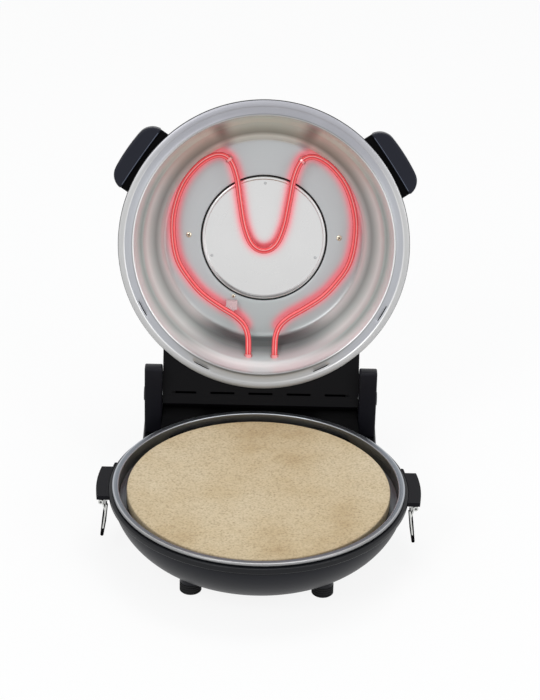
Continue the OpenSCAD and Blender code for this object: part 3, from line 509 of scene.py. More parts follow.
# %% Finishes by slot
ALONG_X = (1, 12, 12)
ALONG_Z = (1, 1, 8)
finishes = {
    "bowl_plastic": bowl_plastic(),
    "lip_plastic": moulded("lip_plastic", (20, 21, 24), 0.32, shine=0.2),
    "gloss_black": moulded("gloss_black", (11, 11, 13), 0.25, grain=0.05, shine=0.15),
    "steel_sheet": spun_steel("steel_sheet", PAN_SHADES, 0.3),
    "pizza_stone": stone_finish(),
    "dark_tube": heater_tube("dark_tube"),
    "plated_steel": fitting_steel("plated_steel", (186, 188, 190), 0.34),
    "rubber": rubber(),
    "pale_ceramic": chalky("pale_ceramic", (222, 214, 208)),
    "hinge_steel": fitting_steel("hinge_steel", (196, 198, 200), 0.24, ALONG_X),
    "latch_steel": fitting_steel("latch_steel", (214, 215, 212), 0.26, ALONG_Z),
    "black_grip": moulded("black_grip", (20, 20, 22), 0.45),
    "lid_enamel": moulded("lid_enamel", (17, 18, 20), 0.34, grain=0.1, shine=0.15),
    "liner_steel": spun_steel(
        "liner_steel", LINER_SHADES, 0.34, rings=0.3, cloud=0.06, metal=0.42, streak=0.12, lit=True
    ),
    "disc_steel": spun_steel("disc_steel", DISC_SHADES, 0.3, rings=0.12, streak=0.1, lit=True),
    "disc_black": moulded("disc_black", (26, 26, 27), 0.6),
    "hot_tube": heater_tube("hot_tube", glow=0.1),
    "handle_plastic": moulded("handle_plastic", (25, 27, 36), 0.4, shine=0.16),
    "neck_plastic": moulded("neck_plastic", (13, 13, 15), 0.45, shine=0.08),
    "bush_nylon": chalky("bush_nylon", (216, 212, 200)),
    "lamp_red": lens(),
}
for part in frame["record"]["subparts"]:
    surface = frame["nodes"][part["node"]].data.materials
    surface.clear()
    surface.append(finishes[part["material_slot"]])
print("finishes:", len(finishes))

# %% [markdown]
# A few solids differ from their slot.  The rings and the saddle that hold the glowing tube are painted pinkish
# red, a painted glow from it, the latches' ears and grips are a duller black than other plastic here, and their
# pins are dark.  The rest of these finishes are for pieces that are made further down, and some of them are
# painted shade or highlight.

# %% Exceptions
# Painted glow: the tube's rings, saddle and bushings are painted pinkish red.
glow_painted_steel = fitting_steel("glow_painted_steel", (240, 158, 160), 0.36)
glow_painted_ceramic = chalky("glow_painted_ceramic", (222, 196, 198))
dark_steel = fitting_steel("dark_steel", (92, 92, 94), 0.4)
ear_black = moulded("ear_black", (15, 15, 19), 0.42, shine=0.08)
# A dull near-black.  The latches' grips have it as their own colour; on the handles' roots and the housing's
# raised middle and ridge it is painted shade.
dull_and_shade_black = moulded("dull_and_shade_black", (8, 8, 9), 0.65, shine=0.03)
post_black = moulded("post_black", (19, 19, 24), 0.42, shine=0.1)
# Painted highlight: a pale grey for the bead along each handle's crease.
bead_highlight = moulded("bead_highlight", (78, 84, 98), 0.35, shine=0.3)
mark_white = chalky("mark_white", (206, 206, 204))
screw_steel = fitting_steel("screw_steel", (236, 226, 206), 0.3)
# Painted shade: a dark brown for the shade in a screw's crossed recess.
recess_shade = fitting_steel("recess_shade", (84, 62, 44), 0.6)
own_finish = {
    "heater_bracket": glow_painted_steel, "heater_clip": glow_painted_ceramic, "upper_heater_bushings": glow_painted_steel,
    "latch_ear": ear_black, "latch_pin": dark_steel, "latch_grip": dull_and_shade_black,
}
for node in frame["nodes"]:
    for start, finish in own_finish.items():
        if node.startswith(start):
            frame["nodes"][node].data.materials[0] = finish
            print("own finish for", node)

# %% [markdown]
# The oven stands on a plain white table in a white studio, under three softboxes.  The table takes
# real shadows, mixed with plain white where the camera or a reflection sees it, so it stays as
# pale as the backdrop.

# %% Studio
FLOOR_HALF = 12
FLOOR_WHITE = 0.88
WHITE = (1, 1, 1, 1)


def studio_floor():
    floor_mesh = bpy.data.meshes.new("floor")
    corners = [(x * FLOOR_HALF, y * FLOOR_HALF, 0) for x, y in ((-1, -1), (1, -1), (1, 1), (-1, 1))]
    floor_mesh.from_pydata(corners, [], [(0, 1, 2, 3)])
    floor = bpy.data.objects.new("floor", floor_mesh)
    bpy.context.scene.collection.objects.link(floor)
    finish = Finish("floor", (0.86, 0.86, 0.86), 0.6, shine=0.1)
    white = finish.node("ShaderNodeEmission", inputs={"Color": WHITE, "Strength": 1.0})
    shader = Signal(finish, finish.shader.outputs[0])
    both = finish.node("ShaderNodeMixShader", inputs=[FLOOR_WHITE * finish.seen(), shader, white])
    finish.feed(finish.tree.nodes["Material Output"].inputs["Surface"], both)
    floor_mesh.materials.append(finish.material)


def studio_world():
    world = bpy.data.worlds.new("studio")
    bpy.context.scene.world = world
    world.use_nodes = True
    sky = Network(world.node_tree)
    light = sky.tree.nodes["Background"]
    sky.feed(light.inputs["Color"], (0.96, 0.98, 1.0, 1))
    sky.feed(light.inputs["Strength"], 0.62)
    backdrop = sky.node("ShaderNodeBackground", inputs={"Color": WHITE})
    both = sky.node("ShaderNodeMixShader", inputs=[sky.seen(), Signal(sky, light.outputs[0]), backdrop])
    sky.feed(sky.tree.nodes["World Output"].inputs["Surface"], both)


def softbox(name, at, aim, size, watts):
    lamp_data = bpy.data.lights.new(name, "AREA")
    lamp_data.shape = "RECTANGLE"
    lamp_data.size = size[0]
    lamp_data.size_y = size[1]
    lamp_data.energy = watts
    lamp = bpy.data.objects.new(name, lamp_data)
    bpy.context.scene.collection.objects.link(lamp)
    facing = (Vector(aim) - Vector(at)).to_track_quat("-Z", "Y")
    lamp.matrix_world = Matrix.Translation(at) @ facing.to_matrix().to_4x4()


studio_floor()
studio_world()
softbox("key_light", (-1.5, -1.8, 2.3), (0, 0.05, 0.15), (1.2, 1.2), 26)
softbox("fill_light", (1.9, -1.4, 1.3), (0, 0.05, 0.15), (1.0, 1.4), 12)
softbox("top_light", (0.2, 0.5, 2.4), (0, 0.1, 0.1), (1.4, 0.9), 16)

# %% [markdown]
# Most of the oven was spun or moulded round one axis, so one helper turns an outline of radius
# and height about the upright axis.  Real edges are never knife sharp: `softened` swaps a corner
# for a short curve, and a corner can name how large that curve is.

# %% Spun pieces
SIDES = 256


def softened(corners, steps=4):
    """A closed outline whose corners (x, y, round) are rounded by the length that they name."""
    outline = []
    for index, corner in enumerate(corners):
        here = Vector(corner[:2])
        if len(corner) < 3:
            outline.append(tuple(here))
            continue
        before = Vector(corners[index - 1][:2]) - here
        after = Vector(corners[(index + 1) % len(corners)][:2]) - here
        start = here + before.normalized() * min(corner[2], before.length * 0.49)
        end = here + after.normalized() * min(corner[2], after.length * 0.49)
        for step in range(steps + 1):
            part = step / steps
            outline.append(tuple(start * (1 - part) ** 2 + here * 2 * part * (1 - part) + end * part ** 2))
    return outline


def placed(name, mesh, body, slot, place=BASE, sharp=32, finish=None):
    """Turns a bmesh into a piece that rides on a body, with smooth shading up to a sharp angle."""
    bmesh.ops.recalc_face_normals(mesh, faces=mesh.faces)
    data = bpy.data.meshes.new(name)
    mesh.to_mesh(data)
    mesh.free()
    data.polygons.foreach_set("use_smooth", [True] * len(data.polygons))
    data.set_sharp_from_angle(angle=math.radians(sharp))
    data.materials.append(finish or finishes[slot])
    piece = bpy.data.objects.new(name, data)
    bpy.context.scene.collection.objects.link(piece)
    piece.matrix_world = place
    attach(piece, body)
    return piece


def polar(radius, turn):
    return radius * math.cos(turn), radius * math.sin(turn)


def ring_of(mesh, radius, height, sides):
    """The points of one ring, or a single point on the axis."""
    if radius < 0.001:
        return [mesh.verts.new((0, 0, height * MM))]
    places = [polar(radius, 2 * math.pi * side / sides) for side in range(sides)]
    return [mesh.verts.new((x * MM, y * MM, height * MM)) for x, y in places]


def bridge(mesh, first, second):
    """Faces between two rings, of which one may be a single point."""
    sides = max(len(first), len(second))
    for side in range(sides):
        near, far = side, (side + 1) % sides
        corners = [first[near % len(first)], first[far % len(first)]]
        corners += [second[far % len(second)], second[near % len(second)]]
        face = list(dict.fromkeys(corners))
        if len(face) > 2:
            mesh.faces.new(face)


def spun(name, outline, body, slot, place=BASE, sides=SIDES, at=(0, 0), finish=None):
    """Turns a closed outline of (radius, height) in mm about an upright axis."""
    mesh = bmesh.new()
    rings = [ring_of(mesh, radius, height, sides) for radius, height in outline]
    for first, second in zip(rings, rings[1:] + rings[:1]):
        bridge(mesh, first, second)
    bmesh.ops.translate(mesh, vec=(at[0] * MM, at[1] * MM, 0), verts=mesh.verts)
    return placed(name, mesh, body, slot, place, finish=finish)


# %% [markdown]
# Handles, posts and grips are slabs with soft edges: a flat outline is pulled to its thickness and
# a bevel with several steps rounds every edge.  `arc` gives the points of a round corner.

# %% Slabs with soft edges
def shifted(outline, move):
    return [(x + move[0], y + move[1]) for x, y in outline]


def arc(middle, radius, start, end, steps=10):
    turns = [math.radians(start + (end - start) * step / steps) for step in range(steps + 1)]
    return shifted([polar(radius, turn) for turn in turns], middle)


def slab(name, outline, low, high, body, slot, place=BASE, edge=1.0, steps=4, finish=None):
    """Pulls a closed outline in mm from one height to the other, with soft edges."""
    mesh = bmesh.new()
    floor_ring = [mesh.verts.new((x * MM, y * MM, low * MM)) for x, y in outline]
    roof_ring = [mesh.verts.new((x * MM, y * MM, high * MM)) for x, y in outline]
    bridge(mesh, floor_ring, roof_ring)
    mesh.faces.new(floor_ring[::-1])
    mesh.faces.new(roof_ring)
    piece = placed(name, mesh, body, slot, place, 50, finish)
    bevel = piece.modifiers.new("soft_edge", "BEVEL")
    bevel.width = edge * MM
    bevel.segments = steps
    bevel.limit_method = "ANGLE"
    bevel.angle_limit = math.radians(40)
    return piece


# %% [markdown]
# The lid's lining shows most, so it is spun again with a smooth wall.  From the rim inwards it is
# a flat flange with a low step, a curled edge, a wall that falls away in one long curve with a
# soft shoulder, and a flat floor with a round hole for the disc.

# %% Lid lining
FLANGE_R = liner_high.x
SLOT_OUT_R = FLANGE_R - 9.7
SLOT_IN_R = FLANGE_R - 10.8
WALL_R = FLANGE_R - 18.4
FLOOR_H = 66.0
FLOOR_R = 119.0
FLOOR_RING = 1.6
SHEET = 0.8
DISC_R = reach("reflector_disc", LID)[1].x
HOLE_R = DISC_R + 1.8


def wall_curve():
    """The wall from the flange's curl to the floor's edge, as (radius, height above the rim)."""
    shoulder = [(0.6, 1.6), (1.3, 5), (2.8, 11), (5.2, 17.4), (8.2, 22.4), (10.6, 26), (12.6, 31)]
    slope = [(15.6, 38), (19.6, 44.6), (24.8, 51), (30.2, 57.6)]
    foot = [(FLOOR_R + 3.4, FLOOR_H - 3.2), (FLOOR_R + 1.2, FLOOR_H - 0.9), (FLOOR_R - 2, FLOOR_H)]
    return [(WALL_R - inwards, height) for inwards, height in shoulder + slope] + foot


def spline(points, steps=4):
    """A smooth line through the points."""
    line = []
    for index in range(len(points) - 1):
        p0, p1 = Vector(points[max(index - 1, 0)]), Vector(points[index])
        p2, p3 = Vector(points[index + 1]), Vector(points[min(index + 2, len(points) - 1)])
        for step in range(steps):
            t = step / steps
            curve = 2 * p1 + (p2 - p0) * t + (2 * p0 - 5 * p1 + 4 * p2 - p3) * t * t
            line.append(tuple((curve + (3 * p1 - p0 - 3 * p2 + p3) * t ** 3) / 2))
    return line + [tuple(points[-1])]


def offset(line, thick):
    """The same line again, moved square to itself, for the back of a sheet."""
    back = []
    for index, point in enumerate(line):
        before = Vector(line[max(index - 1, 0)])
        after = Vector(line[min(index + 1, len(line) - 1)])
        along = (after - before).normalized()
        back.append((point[0] + thick * along.y, point[1] - thick * along.x))
    return back


hem = [(FLANGE_R - 0.5, 3.4), (FLANGE_R - 0.5, 1.1), (FLANGE_R - 0.8, 0.4), (FLANGE_R - 1.4, 0.05)]
flat = [
    (FLANGE_R - 6.6, 0.0), (FLANGE_R - 7.2, 0.15), (FLANGE_R - 7.8, 0.6), (FLANGE_R - 8.4, 0.8),
    (SLOT_OUT_R, 0.8), (SLOT_IN_R, 0.8),
]
curl = [(2.6, 0.8), (2.0, 0.5), (1.2, 0.15), (0.5, 0.2), (-0.2, 0.7)]
face = hem + flat + [(WALL_R + outwards, height) for outwards, height in curl] + spline(wall_curve())
for ring in range(1, int((FLOOR_R - HOLE_R - 4) / FLOOR_RING)):
    face.append((FLOOR_R - 2 - FLOOR_RING * ring, FLOOR_H))
face += [(HOLE_R + 1.6, FLOOR_H), (HOLE_R + 0.5, FLOOR_H + 0.35), (HOLE_R, FLOOR_H + 1.3)]
sheet = shifted(face + offset(face, SHEET)[::-1], (0, RIM))
liner = spun("liner", sheet, "lid", "liner_steel", LID)
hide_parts("lid_liner")
print("liner wall runs through", len(face), "points")

# %% [markdown]
# Four short slots are cut in the flange on the hinge side.  A slot is a few cells of the spun
# sheet left out of its front and its back, and four strips between the two close the cut.

# %% Slots in the flange
SLOT_BEARINGS = (28.5, 63.5, 116.5, 151.5)
SLOT_HALF = 3.5


def in_slot(cell):
    middle = cell.calc_center_median() / MM
    bearing = math.degrees(math.atan2(middle.y, middle.x))
    near = min(abs(bearing - slot) for slot in SLOT_BEARINGS) < SLOT_HALF
    return near and SLOT_IN_R < math.hypot(middle.x, middle.y) < SLOT_OUT_R and middle.z < RIM + 3


mesh = bmesh.new()
mesh.from_mesh(liner.data)
gone = [cell for cell in mesh.faces if in_slot(cell)]
bmesh.ops.delete(mesh, geom=gone, context="FACES")
bmesh.ops.bridge_loops(mesh, edges=[edge for edge in mesh.edges if edge.is_boundary], use_pairs=True)
print("cells left out:", len(gone), "open edges left:", sum(edge.is_boundary for edge in mesh.edges))
mesh.to_mesh(liner.data)
mesh.free()

# %% [markdown]
# The steel close to the glowing tube is painted red, a painted glow.  How strongly is stored with the mesh, as one
# number per corner point that falls with the distance from the tube's path, and the steel's finish reads it.  The
# tube's path is set down here, because the lining and the disc need it.

# %% Path of the glowing tube
RIGHT_HALF = [
    (16, 150, 36), (16, 141, 36), (16, 130, 36.2), (17, 117, 44), (22, 105, 49.4), (33, 94.5, 50),
    (51, 83.5, 50), (72, 69, 50), (88, 52, 50), (103.5, 28, 50), (110, -2, 50),
    (109, -34, 50), (98, -67, 50), (79, -91, 50), (59, -102, 50), (44, -97, 50),
    (35, -77, 50), (30, -48, 50), (24, -16, 50), (14.5, 6, 50),
]
TIP = (0, 13.5, 50)
WALL_STARTS = 108
whole_path = RIGHT_HALF + [TIP] + [(-x, y, h) for x, y, h in RIGHT_HALF[::-1]]
heater_path = [(x, y, h + RIM) for x, y, h in spline(whole_path, 6)]


def store_glow(piece):
    """One number per point: 1 under the tube, fading away from it over a few millimetres."""
    core, fade, power = 4.5, 4.2, 1.6
    lit = [Vector(point[:2]) for point in heater_path if point[1] < WALL_STARTS]
    amounts = []
    for vertex in piece.data.vertices:
        place = vertex.co / MM
        on_floor = place.z > RIM + FLOOR_H - 3
        away = min((place.xy - point).length for point in lit) if on_floor else 99
        amounts.append(math.exp(-(max(0.0, away - core) / fade) ** power))
    piece.data.attributes.new("glow", "FLOAT", "POINT").data.foreach_set("value", amounts)
    return max(amounts)


print("strongest glow on the lining:", round(store_glow(liner), 2))

# %% [markdown]
# The disc in the middle of the lid is a second reflector.  It sits in the round hole with a dark
# gap all round, and its edge is turned forward into a thin bright lip.

# %% Reflector disc
def disc_outline():
    front = FLOOR_H + 0.6
    flat = [(0, front)]
    flat += [(FLOOR_RING * ring, front) for ring in range(1, int((DISC_R - 6) / FLOOR_RING))]
    return flat + softened([
        (DISC_R - 3.8, front, 0.5), (DISC_R - 2.8, front - 1.0, 0.5), (DISC_R - 0.9, front - 1.0, 0.6),
        (DISC_R, front - 0.1, 0.5), (DISC_R, front + 1.2), (DISC_R - 0.8, front + 1.2),
        (DISC_R - 0.8, front + 0.8), (0, front + 0.8),
    ])


disc = spun("disc", shifted(disc_outline(), (0, RIM)), "lid", "disc_steel", LID)
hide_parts("reflector_disc")
store_glow(disc)
print("disc radius:", round(DISC_R, 1))

# %% [markdown]
# Three flat rivets hold the disc to its carrier, and three screws with crossed heads hold the lining.  A head is a
# small dome, and its cross is a flat dark star that stands just proud of it, a painted shade of the recess,
# because a real recess this small shows only as a dark mark of shade.

# %% Rivets and screws
RIVET_SEAT_R = 67
RIVET = softened([(0, -0.6), (1.2, -0.6, 0.4), (1.8, 0, 0.2), (1.8, 0.1), (0, 0.1)])
SCREWS = [(HOLE_R + 14.5, -178.8, 3.4), (HOLE_R + 14.5, -1.2, 3.4), (HOLE_R + 3.8, 116.2, 2.3)]
CROSS_TURN = 0.6
HEAD_H = 1.7


def cross_outline(head_r):
    arm, wide = 0.62 * head_r, 0.14 * head_r
    star = [(arm, -wide), (arm, wide), (wide, wide), (wide, arm), (-wide, arm), (-wide, wide)]
    star += [(-x, -y) for x, y in star]
    cos, sin = math.cos(CROSS_TURN), math.sin(CROSS_TURN)
    return [(x * cos - y * sin, x * sin + y * cos) for x, y in star]


for number, degrees in enumerate((20, 160, 270)):
    seat = polar(RIVET_SEAT_R, math.radians(degrees))
    shape = shifted(RIVET, (0, RIM + FLOOR_H + 0.6))
    spun(f"disc_rivet_{number}", shape, "lid", "liner_steel", LID, 32, seat)
for number, (away, degrees, head_r) in enumerate(SCREWS):
    seat = polar(away, math.radians(degrees))
    dome_line = [(0, -HEAD_H), (0.5 * head_r, 0.1 - HEAD_H, 0.6), (head_r, -0.7, 0.8), (head_r, 0), (0, 0)]
    shape = shifted(softened(dome_line), (0, RIM + FLOOR_H))
    spun(f"screw_head_{number}", shape, "lid", "plated_steel", LID, 48, seat, screw_steel)
    level = RIM + FLOOR_H - HEAD_H - 0.02
    star = shifted(cross_outline(head_r), seat)
    # The cross is a painted shade of the recess.
    slab(f"screw_cross_{number}", star, level, level + 0.5, "lid", "plated_steel", LID, 0.05, 1, recess_shade)
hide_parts("liner_screws")

# %% [markdown]
# The dome over the lining is one smooth pressing with a rolled bead round its rim.  The same kind
# of curve shapes the bowl below, so it is a function: a rounded quarter that is flat at one end
# and upright at the other, and fuller as its power grows.

# %% Dome of the lid
def quarter(flat, steep, power, steps=28):
    """A curve from the flat end (radius, height) to the steep end."""
    points = []
    for step in range(steps + 1):
        height = flat[1] + (steep[1] - flat[1]) * (step / steps) ** 1.7
        level = (steep[1] - height) / (steep[1] - flat[1])
        bulge = max(0.0, 1 - level ** power) ** (1 / power)
        points.append((flat[0] + (steep[0] - flat[0]) * bulge, height))
    return points


DOME_H = shell_high.z - RIM
SHELL_R = shell_high.x
DOME_FLAT_R = 96.0
DOME_FULL = 1.5
outer = quarter((DOME_FLAT_R, DOME_H), (SHELL_R - 4, 11), DOME_FULL)
inner = quarter((DOME_FLAT_R, DOME_H - 1.2), (SHELL_R - 5.2, 11), DOME_FULL)
bead = softened([
    (SHELL_R - 2.2, 3.6), (SHELL_R - 0.1, 3.6, 0.5), (SHELL_R, 4.2, 0.4), (SHELL_R, 8.4, 1.6),
    (SHELL_R - 2.6, 10.0, 1.2),
])
dome_outline = bead + outer[::-1] + [(14, DOME_H), (14, DOME_H - 1.2)] + inner + [(SHELL_R - 2, 7)]
dome = spun("dome", shifted(dome_outline, (0, RIM)), "lid", "lid_enamel", LID)
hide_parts("lid_shell")
print("dome stands", round(DOME_H, 1), "mm above the rim")

# %% [markdown]
# The bowl is the same curve the other way up.  It ends in a flat bottom with a stepped opening
# for the vented hatch.  Two pads under its front carry feet.

# %% Bowl
BOWL_R = bowl_high.x
BOTTOM_R = 113.0
BOWL_FULL = 1.6
WALL = 2.4
PAD_TOP = 24
HATCH_R = reach("bottom_hatch")[1].x
skin = quarter((BOTTOM_R, bowl_low.z), (BOWL_R, bowl_high.z), BOWL_FULL)
inside = quarter((BOTTOM_R - WALL, bowl_low.z + WALL), (BOWL_R - WALL, bowl_high.z), BOWL_FULL)
step_z = bowl_low.z + 1.4
opening = [(HATCH_R - 6, step_z), (HATCH_R + 0.1, step_z), (HATCH_R + 0.4, bowl_low.z)]
bowl_outline = opening + skin + inside[::-1] + [(HATCH_R - 6, bowl_low.z + WALL)]
bowl = spun("bowl", bowl_outline, "base", "bowl_plastic")
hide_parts("base_bowl")
for name in ("foot_front_left", "foot_front_right"):
    low, high = reach(name)
    pad_r = (high.x - low.x) / 2 - 0.3
    pad = softened([(0, high.z), (pad_r, high.z, 1.0), (pad_r, PAD_TOP), (0, PAD_TOP)])
    spun(name + "_pad", pad, "base", "bowl_plastic", BASE, 64, (low.xy + high.xy) / 2)
print("bowl is", round(2 * BOWL_R), "mm across")

# %% [markdown]
# A black lip caps the bowl, and inside it the steel pan's edge rolls over into the bright ring
# that frames the stone.  Their edges are rounded, because they catch the light all the way round.

# %% Lip and pan
LIP_R = lip_high.x
LIP_TOP = ring_high.z - 4.5
LIP_LOW = LIP_TOP - 7
RING_R = ring_high.x
RING_Z = ring_high.z
RING_W = 7.5
PAN_R = RING_R - RING_W
SEAT_Z = stone_low.z
SEAT_R = stone_high.x - 5
BOLT_R = 3
PAN_Z = ring_low.z
skin_r = BOWL_R - WALL - 0.1
lip_outline = softened([
    (LIP_R - 1, LIP_LOW, 0.4), (LIP_R, LIP_LOW + 1, 0.6), (LIP_R, LIP_TOP, 1.4), (RING_R - 2, LIP_TOP, 0.5),
    (RING_R - 2, RING_Z - 1.1), (PAN_R + 1.5, RING_Z - 1.1), (PAN_R + 1.5, lip_low.z),
    (skin_r - 1.3, lip_low.z), (skin_r, bowl_high.z - 0.5), (skin_r, LIP_LOW),
])
lip = spun("lip", lip_outline, "base", "lip_plastic")
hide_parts("bowl_lip")
pan_outline = softened([
    (RING_R - 1, RING_Z - 3), (RING_R, RING_Z - 3, 0.3), (RING_R, RING_Z, 1.6), (PAN_R, RING_Z, 1.0),
    (PAN_R, SEAT_Z, 1.6), (SEAT_R, SEAT_Z, 0.8), (SEAT_R, PAN_Z + 1, 3), (BOLT_R, PAN_Z + 1),
    (BOLT_R, PAN_Z), (SEAT_R + 1, PAN_Z, 3), (SEAT_R + 1, SEAT_Z - 1), (PAN_R + 1, SEAT_Z - 1, 1.6),
    (PAN_R + 1, RING_Z - 1), (RING_R - 1, RING_Z - 1),
])
pan = spun("pan", pan_outline, "base", "steel_sheet")
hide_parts("steel_pan")
print("ring is", RING_W, "mm wide and stands", round(RING_Z - LIP_TOP, 1), "mm above the lip")

# %% [markdown]
# The stone is a plain round slab.  Its edge is broken by a small bevel, as a pressed and fired
# slab has.

# %% Baking stone
stone_outline = softened([
    (0, stone_low.z), (stone_high.x, stone_low.z, 1.8), (stone_high.x, stone_high.z, 1.8), (0, stone_high.z),
])
stone = spun("stone", stone_outline, "stone", "pizza_stone")
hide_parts("baking_stone")
print("stone is", round(stone_high.z - stone_low.z, 1), "mm thick")

# %% [markdown]
# The glowing tube is bent symmetrically: in through the wall at the hinge side, out round the
# floor, and back in a deep loop towards the disc.  The left half mirrors the right one.  A tube is
# a ring of points carried along a smooth path.

# %% Upper heater
TUBE_R = 3.6
TUBE_SIDES = 24


def tube(name, path, radius, body, slot, place=BASE):
    """Rings of points square to the path, joined and closed at both ends."""
    mesh = bmesh.new()
    rings = []
    for index, point in enumerate(path):
        here = Vector(point)
        along = Vector(path[min(index + 1, len(path) - 1)]) - Vector(path[max(index - 1, 0)])
        across = along.cross(Vector((0, 0, 1))).normalized()
        upright = across.cross(along).normalized()
        places = [polar(radius, 2 * math.pi * side / TUBE_SIDES) for side in range(TUBE_SIDES)]
        rings.append([mesh.verts.new((here + across * x + upright * y) * MM) for x, y in places])
    for first, second in zip(rings, rings[1:]):
        bridge(mesh, first, second)
    for end in (rings[0], rings[-1]):
        mesh.faces.new(end)
    return placed(name, mesh, body, slot, place, 60)


heater = tube("glowing_tube", heater_path, TUBE_R, "lid", "hot_tube", LID)
turns = [(number % TUBE_SIDES) / TUBE_SIDES for number in range(len(heater.data.vertices))]
heater.data.attributes.new("turn", "FLOAT", "POINT").data.foreach_set("value", turns)
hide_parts("upper_heater")
print("glowing tube follows", len(heater_path), "points")

# %% [markdown]
# Each handle is a rounded grip that stands off the lid's rim on a thinner black root, painted near-black as
# painted shade under the grip.  The grip's outer edge is nearly straight and its two corners are full and round.

# %% Lid handles
HANDLE_TURN = math.radians(34)
HANDLE_HALF = 42.5
GRIP_IN = SHELL_R + 4.4
GRIP_OUT = SHELL_R + 25
CORNER = 20.0
SIDE_LABELS = ((-1, "left"), (1, "right"))


def grip_outline():
    crown = [(-part / 4 * (HANDLE_HALF - CORNER - 1), GRIP_OUT - 0.06 * part * part) for part in range(-4, 5)]
    first = math.degrees(math.asin((GRIP_IN - GRIP_OUT + 1.2 + CORNER) / CORNER))
    right = arc((HANDLE_HALF - CORNER, GRIP_OUT - 1.2 - CORNER), CORNER, first, 80)
    left = arc((CORNER - HANDLE_HALF, GRIP_OUT - 1.2 - CORNER), CORNER, 100, 180 - first)
    crease = [(x, GRIP_IN + 0.8 - 0.8 * (x / 40) ** 2) for x in range(-36, 37, 12)]
    return right + crown + left + crease


def root_outline():
    half = HANDLE_HALF - 0.5
    return [(-half, SHELL_R - 9), (half, SHELL_R - 9), (half, GRIP_IN + 4), (-half, GRIP_IN + 4)]


def bead_outline():
    half = HANDLE_HALF - 4.5
    near = [(x * half / 4, GRIP_IN + 1.6 - 0.05 * x * x) for x in range(-4, 5)]
    return near + shifted(near[::-1], (0, 1.5))


for side, label in SIDE_LABELS:
    place = LID @ Matrix.Rotation(-side * (math.pi / 2 + HANDLE_TURN), 4, "Z")
    low, high = reach("lid_handle_" + label, LID)
    grip = slab(f"grip_{label}", grip_outline(), low.z, high.z, "lid", "handle_plastic", place, 3.6, 6)
    # The root is painted near-black: painted shade under the grip.
    slab(f"grip_root_{label}", root_outline(), low.z + 4.5, high.z - 5.5,
         "lid", "neck_plastic", place, 1.0, 2, dull_and_shade_black)
    # A bead along the grip's crease is painted pale grey, a painted highlight.
    slab(f"grip_bead_{label}", bead_outline(), low.z + 0.1, low.z + 3,
         "lid", "handle_plastic", place, 0.5, 3, bead_highlight)
    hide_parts("lid_handle_" + label)
print("handles reach", round(GRIP_OUT), "mm from the lid's centre")

# %% [markdown]
# The hinge posts are tall blocks with a rounded top.  Their outline lies in the plane of depth
# and height, so the slab is turned: its own x becomes the oven's y, its y becomes z, and its
# thickness runs along x.  A soft edge makes them look moulded rather than sawn.  Outside each
# post a flat round cap covers the end of the hinge pin.

# %% Hinge posts
SIDEWAYS = Matrix(((0, 0, 1, 0), (1, 0, 0, 0), (0, 1, 0, 0), (0, 0, 0, 1)))


def post_outline(low, high):
    hinge = HINGE.z / MM
    back = arc((high.y - 27, high.z - 27), 27, 0, 90)
    front = arc((low.y + 5, high.z - 4), 4, 90, 165, 6)
    face = [(low.y + 0.6, high.z - 18), (low.y, hinge + 4), (low.y + 1, hinge - 20)]
    return [(low.y + 2, low.z), (high.y, low.z)] + back + front + face


CAP_R = 8.5
CAP = softened([
    (0, -0.5), (CAP_R, -0.5), (CAP_R, 1.2, 0.8), (CAP_R - 2, 1.2, 0.4), (CAP_R - 2.6, 0.7), (0, 0.7),
])
for side, label in SIDE_LABELS:
    low, high = reach("hinge_post_" + label)
    post = slab(f"post_{label}", post_outline(low, high), low.x, high.x,
                "base", "gloss_black", SIDEWAYS, 1.6, 4, post_black)
    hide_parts("hinge_post_" + label)
    outside = high.x if side > 0 else low.x
    seat = Matrix.Translation((outside * MM, HINGE.y, HINGE.z))
    outwards = Matrix.Rotation(side * math.pi / 2, 4, "Y")
    spun(f"pin_cap_{label}", CAP, "base", "black_grip", seat @ outwards, 64)
print("posts stand", round(high.z - low.z, 1), "mm tall")

# %% [markdown]
# The rear housing is a low box with a narrower raised middle, and a ridge along the back edge of
# that.  Most of its front is hidden by the bowl's round back.  Plan outlines with rounded corners
# are pulled upwards, and the ridge, like the posts, is pulled sideways.

# %% Rear housing
house_low, house_high = reach("rear_housing")
post_low = reach("hinge_post_right")[0]
SHOULDER = post_low.z
CENTRE_X = post_low.x - 0.2
HOUSE_TOP = LIP_LOW + 1
FRONT = house_low.y
BACK = house_high.y - 0.5


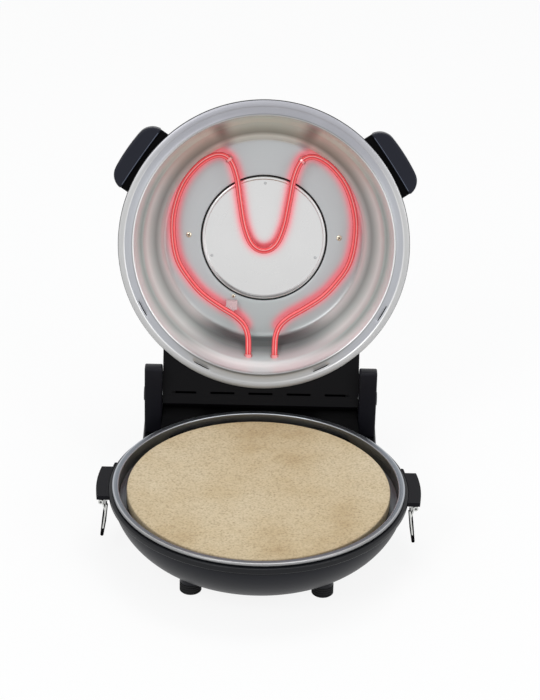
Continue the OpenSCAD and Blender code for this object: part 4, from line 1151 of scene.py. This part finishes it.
def plan(half, front, back, corner=7):
    shape = [(-half, front), (half, front)] + arc((half - corner, back - corner), corner, 0, 90, 6)
    return shape + arc((corner - half, back - corner), corner, 90, 180, 6)


block = slab("housing_low", plan(house_high.x, FRONT, BACK), house_low.z, SHOULDER,
             "base", "gloss_black", BASE, 2.2, 4)
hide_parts("rear_housing")
# The raised middle and the ridge are a darker, duller black: painted shade, as they lie in the dark gap behind the
# neck.
slab("housing_middle", plan(CENTRE_X, FRONT + 0.5, BACK - 0.3, 3), SHOULDER - 4, HOUSE_TOP,
     "base", "gloss_black", BASE, 1.2, 3, dull_and_shade_black)
ridge = [(BACK - 15.5, HOUSE_TOP - 2), (BACK - 0.5, HOUSE_TOP - 2), (BACK - 0.5, house_high.z),
         (BACK - 10.5, house_high.z)]
slab("housing_ridge", ridge, -CENTRE_X, CENTRE_X, "base", "gloss_black", SIDEWAYS, 1.4, 3, dull_and_shade_black)
print("housing is", round(2 * house_high.x), "mm wide")

# %% [markdown]
# The two dials on the lid have plain marks round them: short raised strokes, longer at the ends
# and in the middle.  Their places follow from the knobs, whose boxes give the centre and the radius.

# %% Dial marks
MARKS = 11
MARK_STEP = 30
LONG_MARKS = (0, 5, 10)
MARK_HALF = 0.35


def dial_marks(knob):
    low, high = reach(knob, LID)
    centre = (low.xy + high.xy) / 2
    edge = (high.x - low.x) / 2 + 1.2
    mesh = bmesh.new()
    for number in range(MARKS):
        turn = math.radians((number - MARKS // 2) * MARK_STEP)
        long = 3.4 if number in LONG_MARKS else 2.2
        across = Vector(polar(MARK_HALF, turn))
        along = Vector((-math.sin(turn), math.cos(turn)))
        corners = []
        for height in (low.z - 1.0, low.z - 0.25):
            for side, far in ((-1, edge), (1, edge), (1, edge + long), (-1, edge + long)):
                spot = centre + across * side + along * far
                corners.append(mesh.verts.new(Vector((*spot, height)) * MM))
        bridge(mesh, corners[:4], corners[4:])
        mesh.faces.new(corners[:4])
        mesh.faces.new(corners[4:])
    placed(knob + "_marks", mesh, "lid", "plated_steel", LID, finish=mark_white)


for knob in ("timer_knob", "thermostat_knob"):
    dial_marks(knob)
print("marks round each dial:", MARKS)
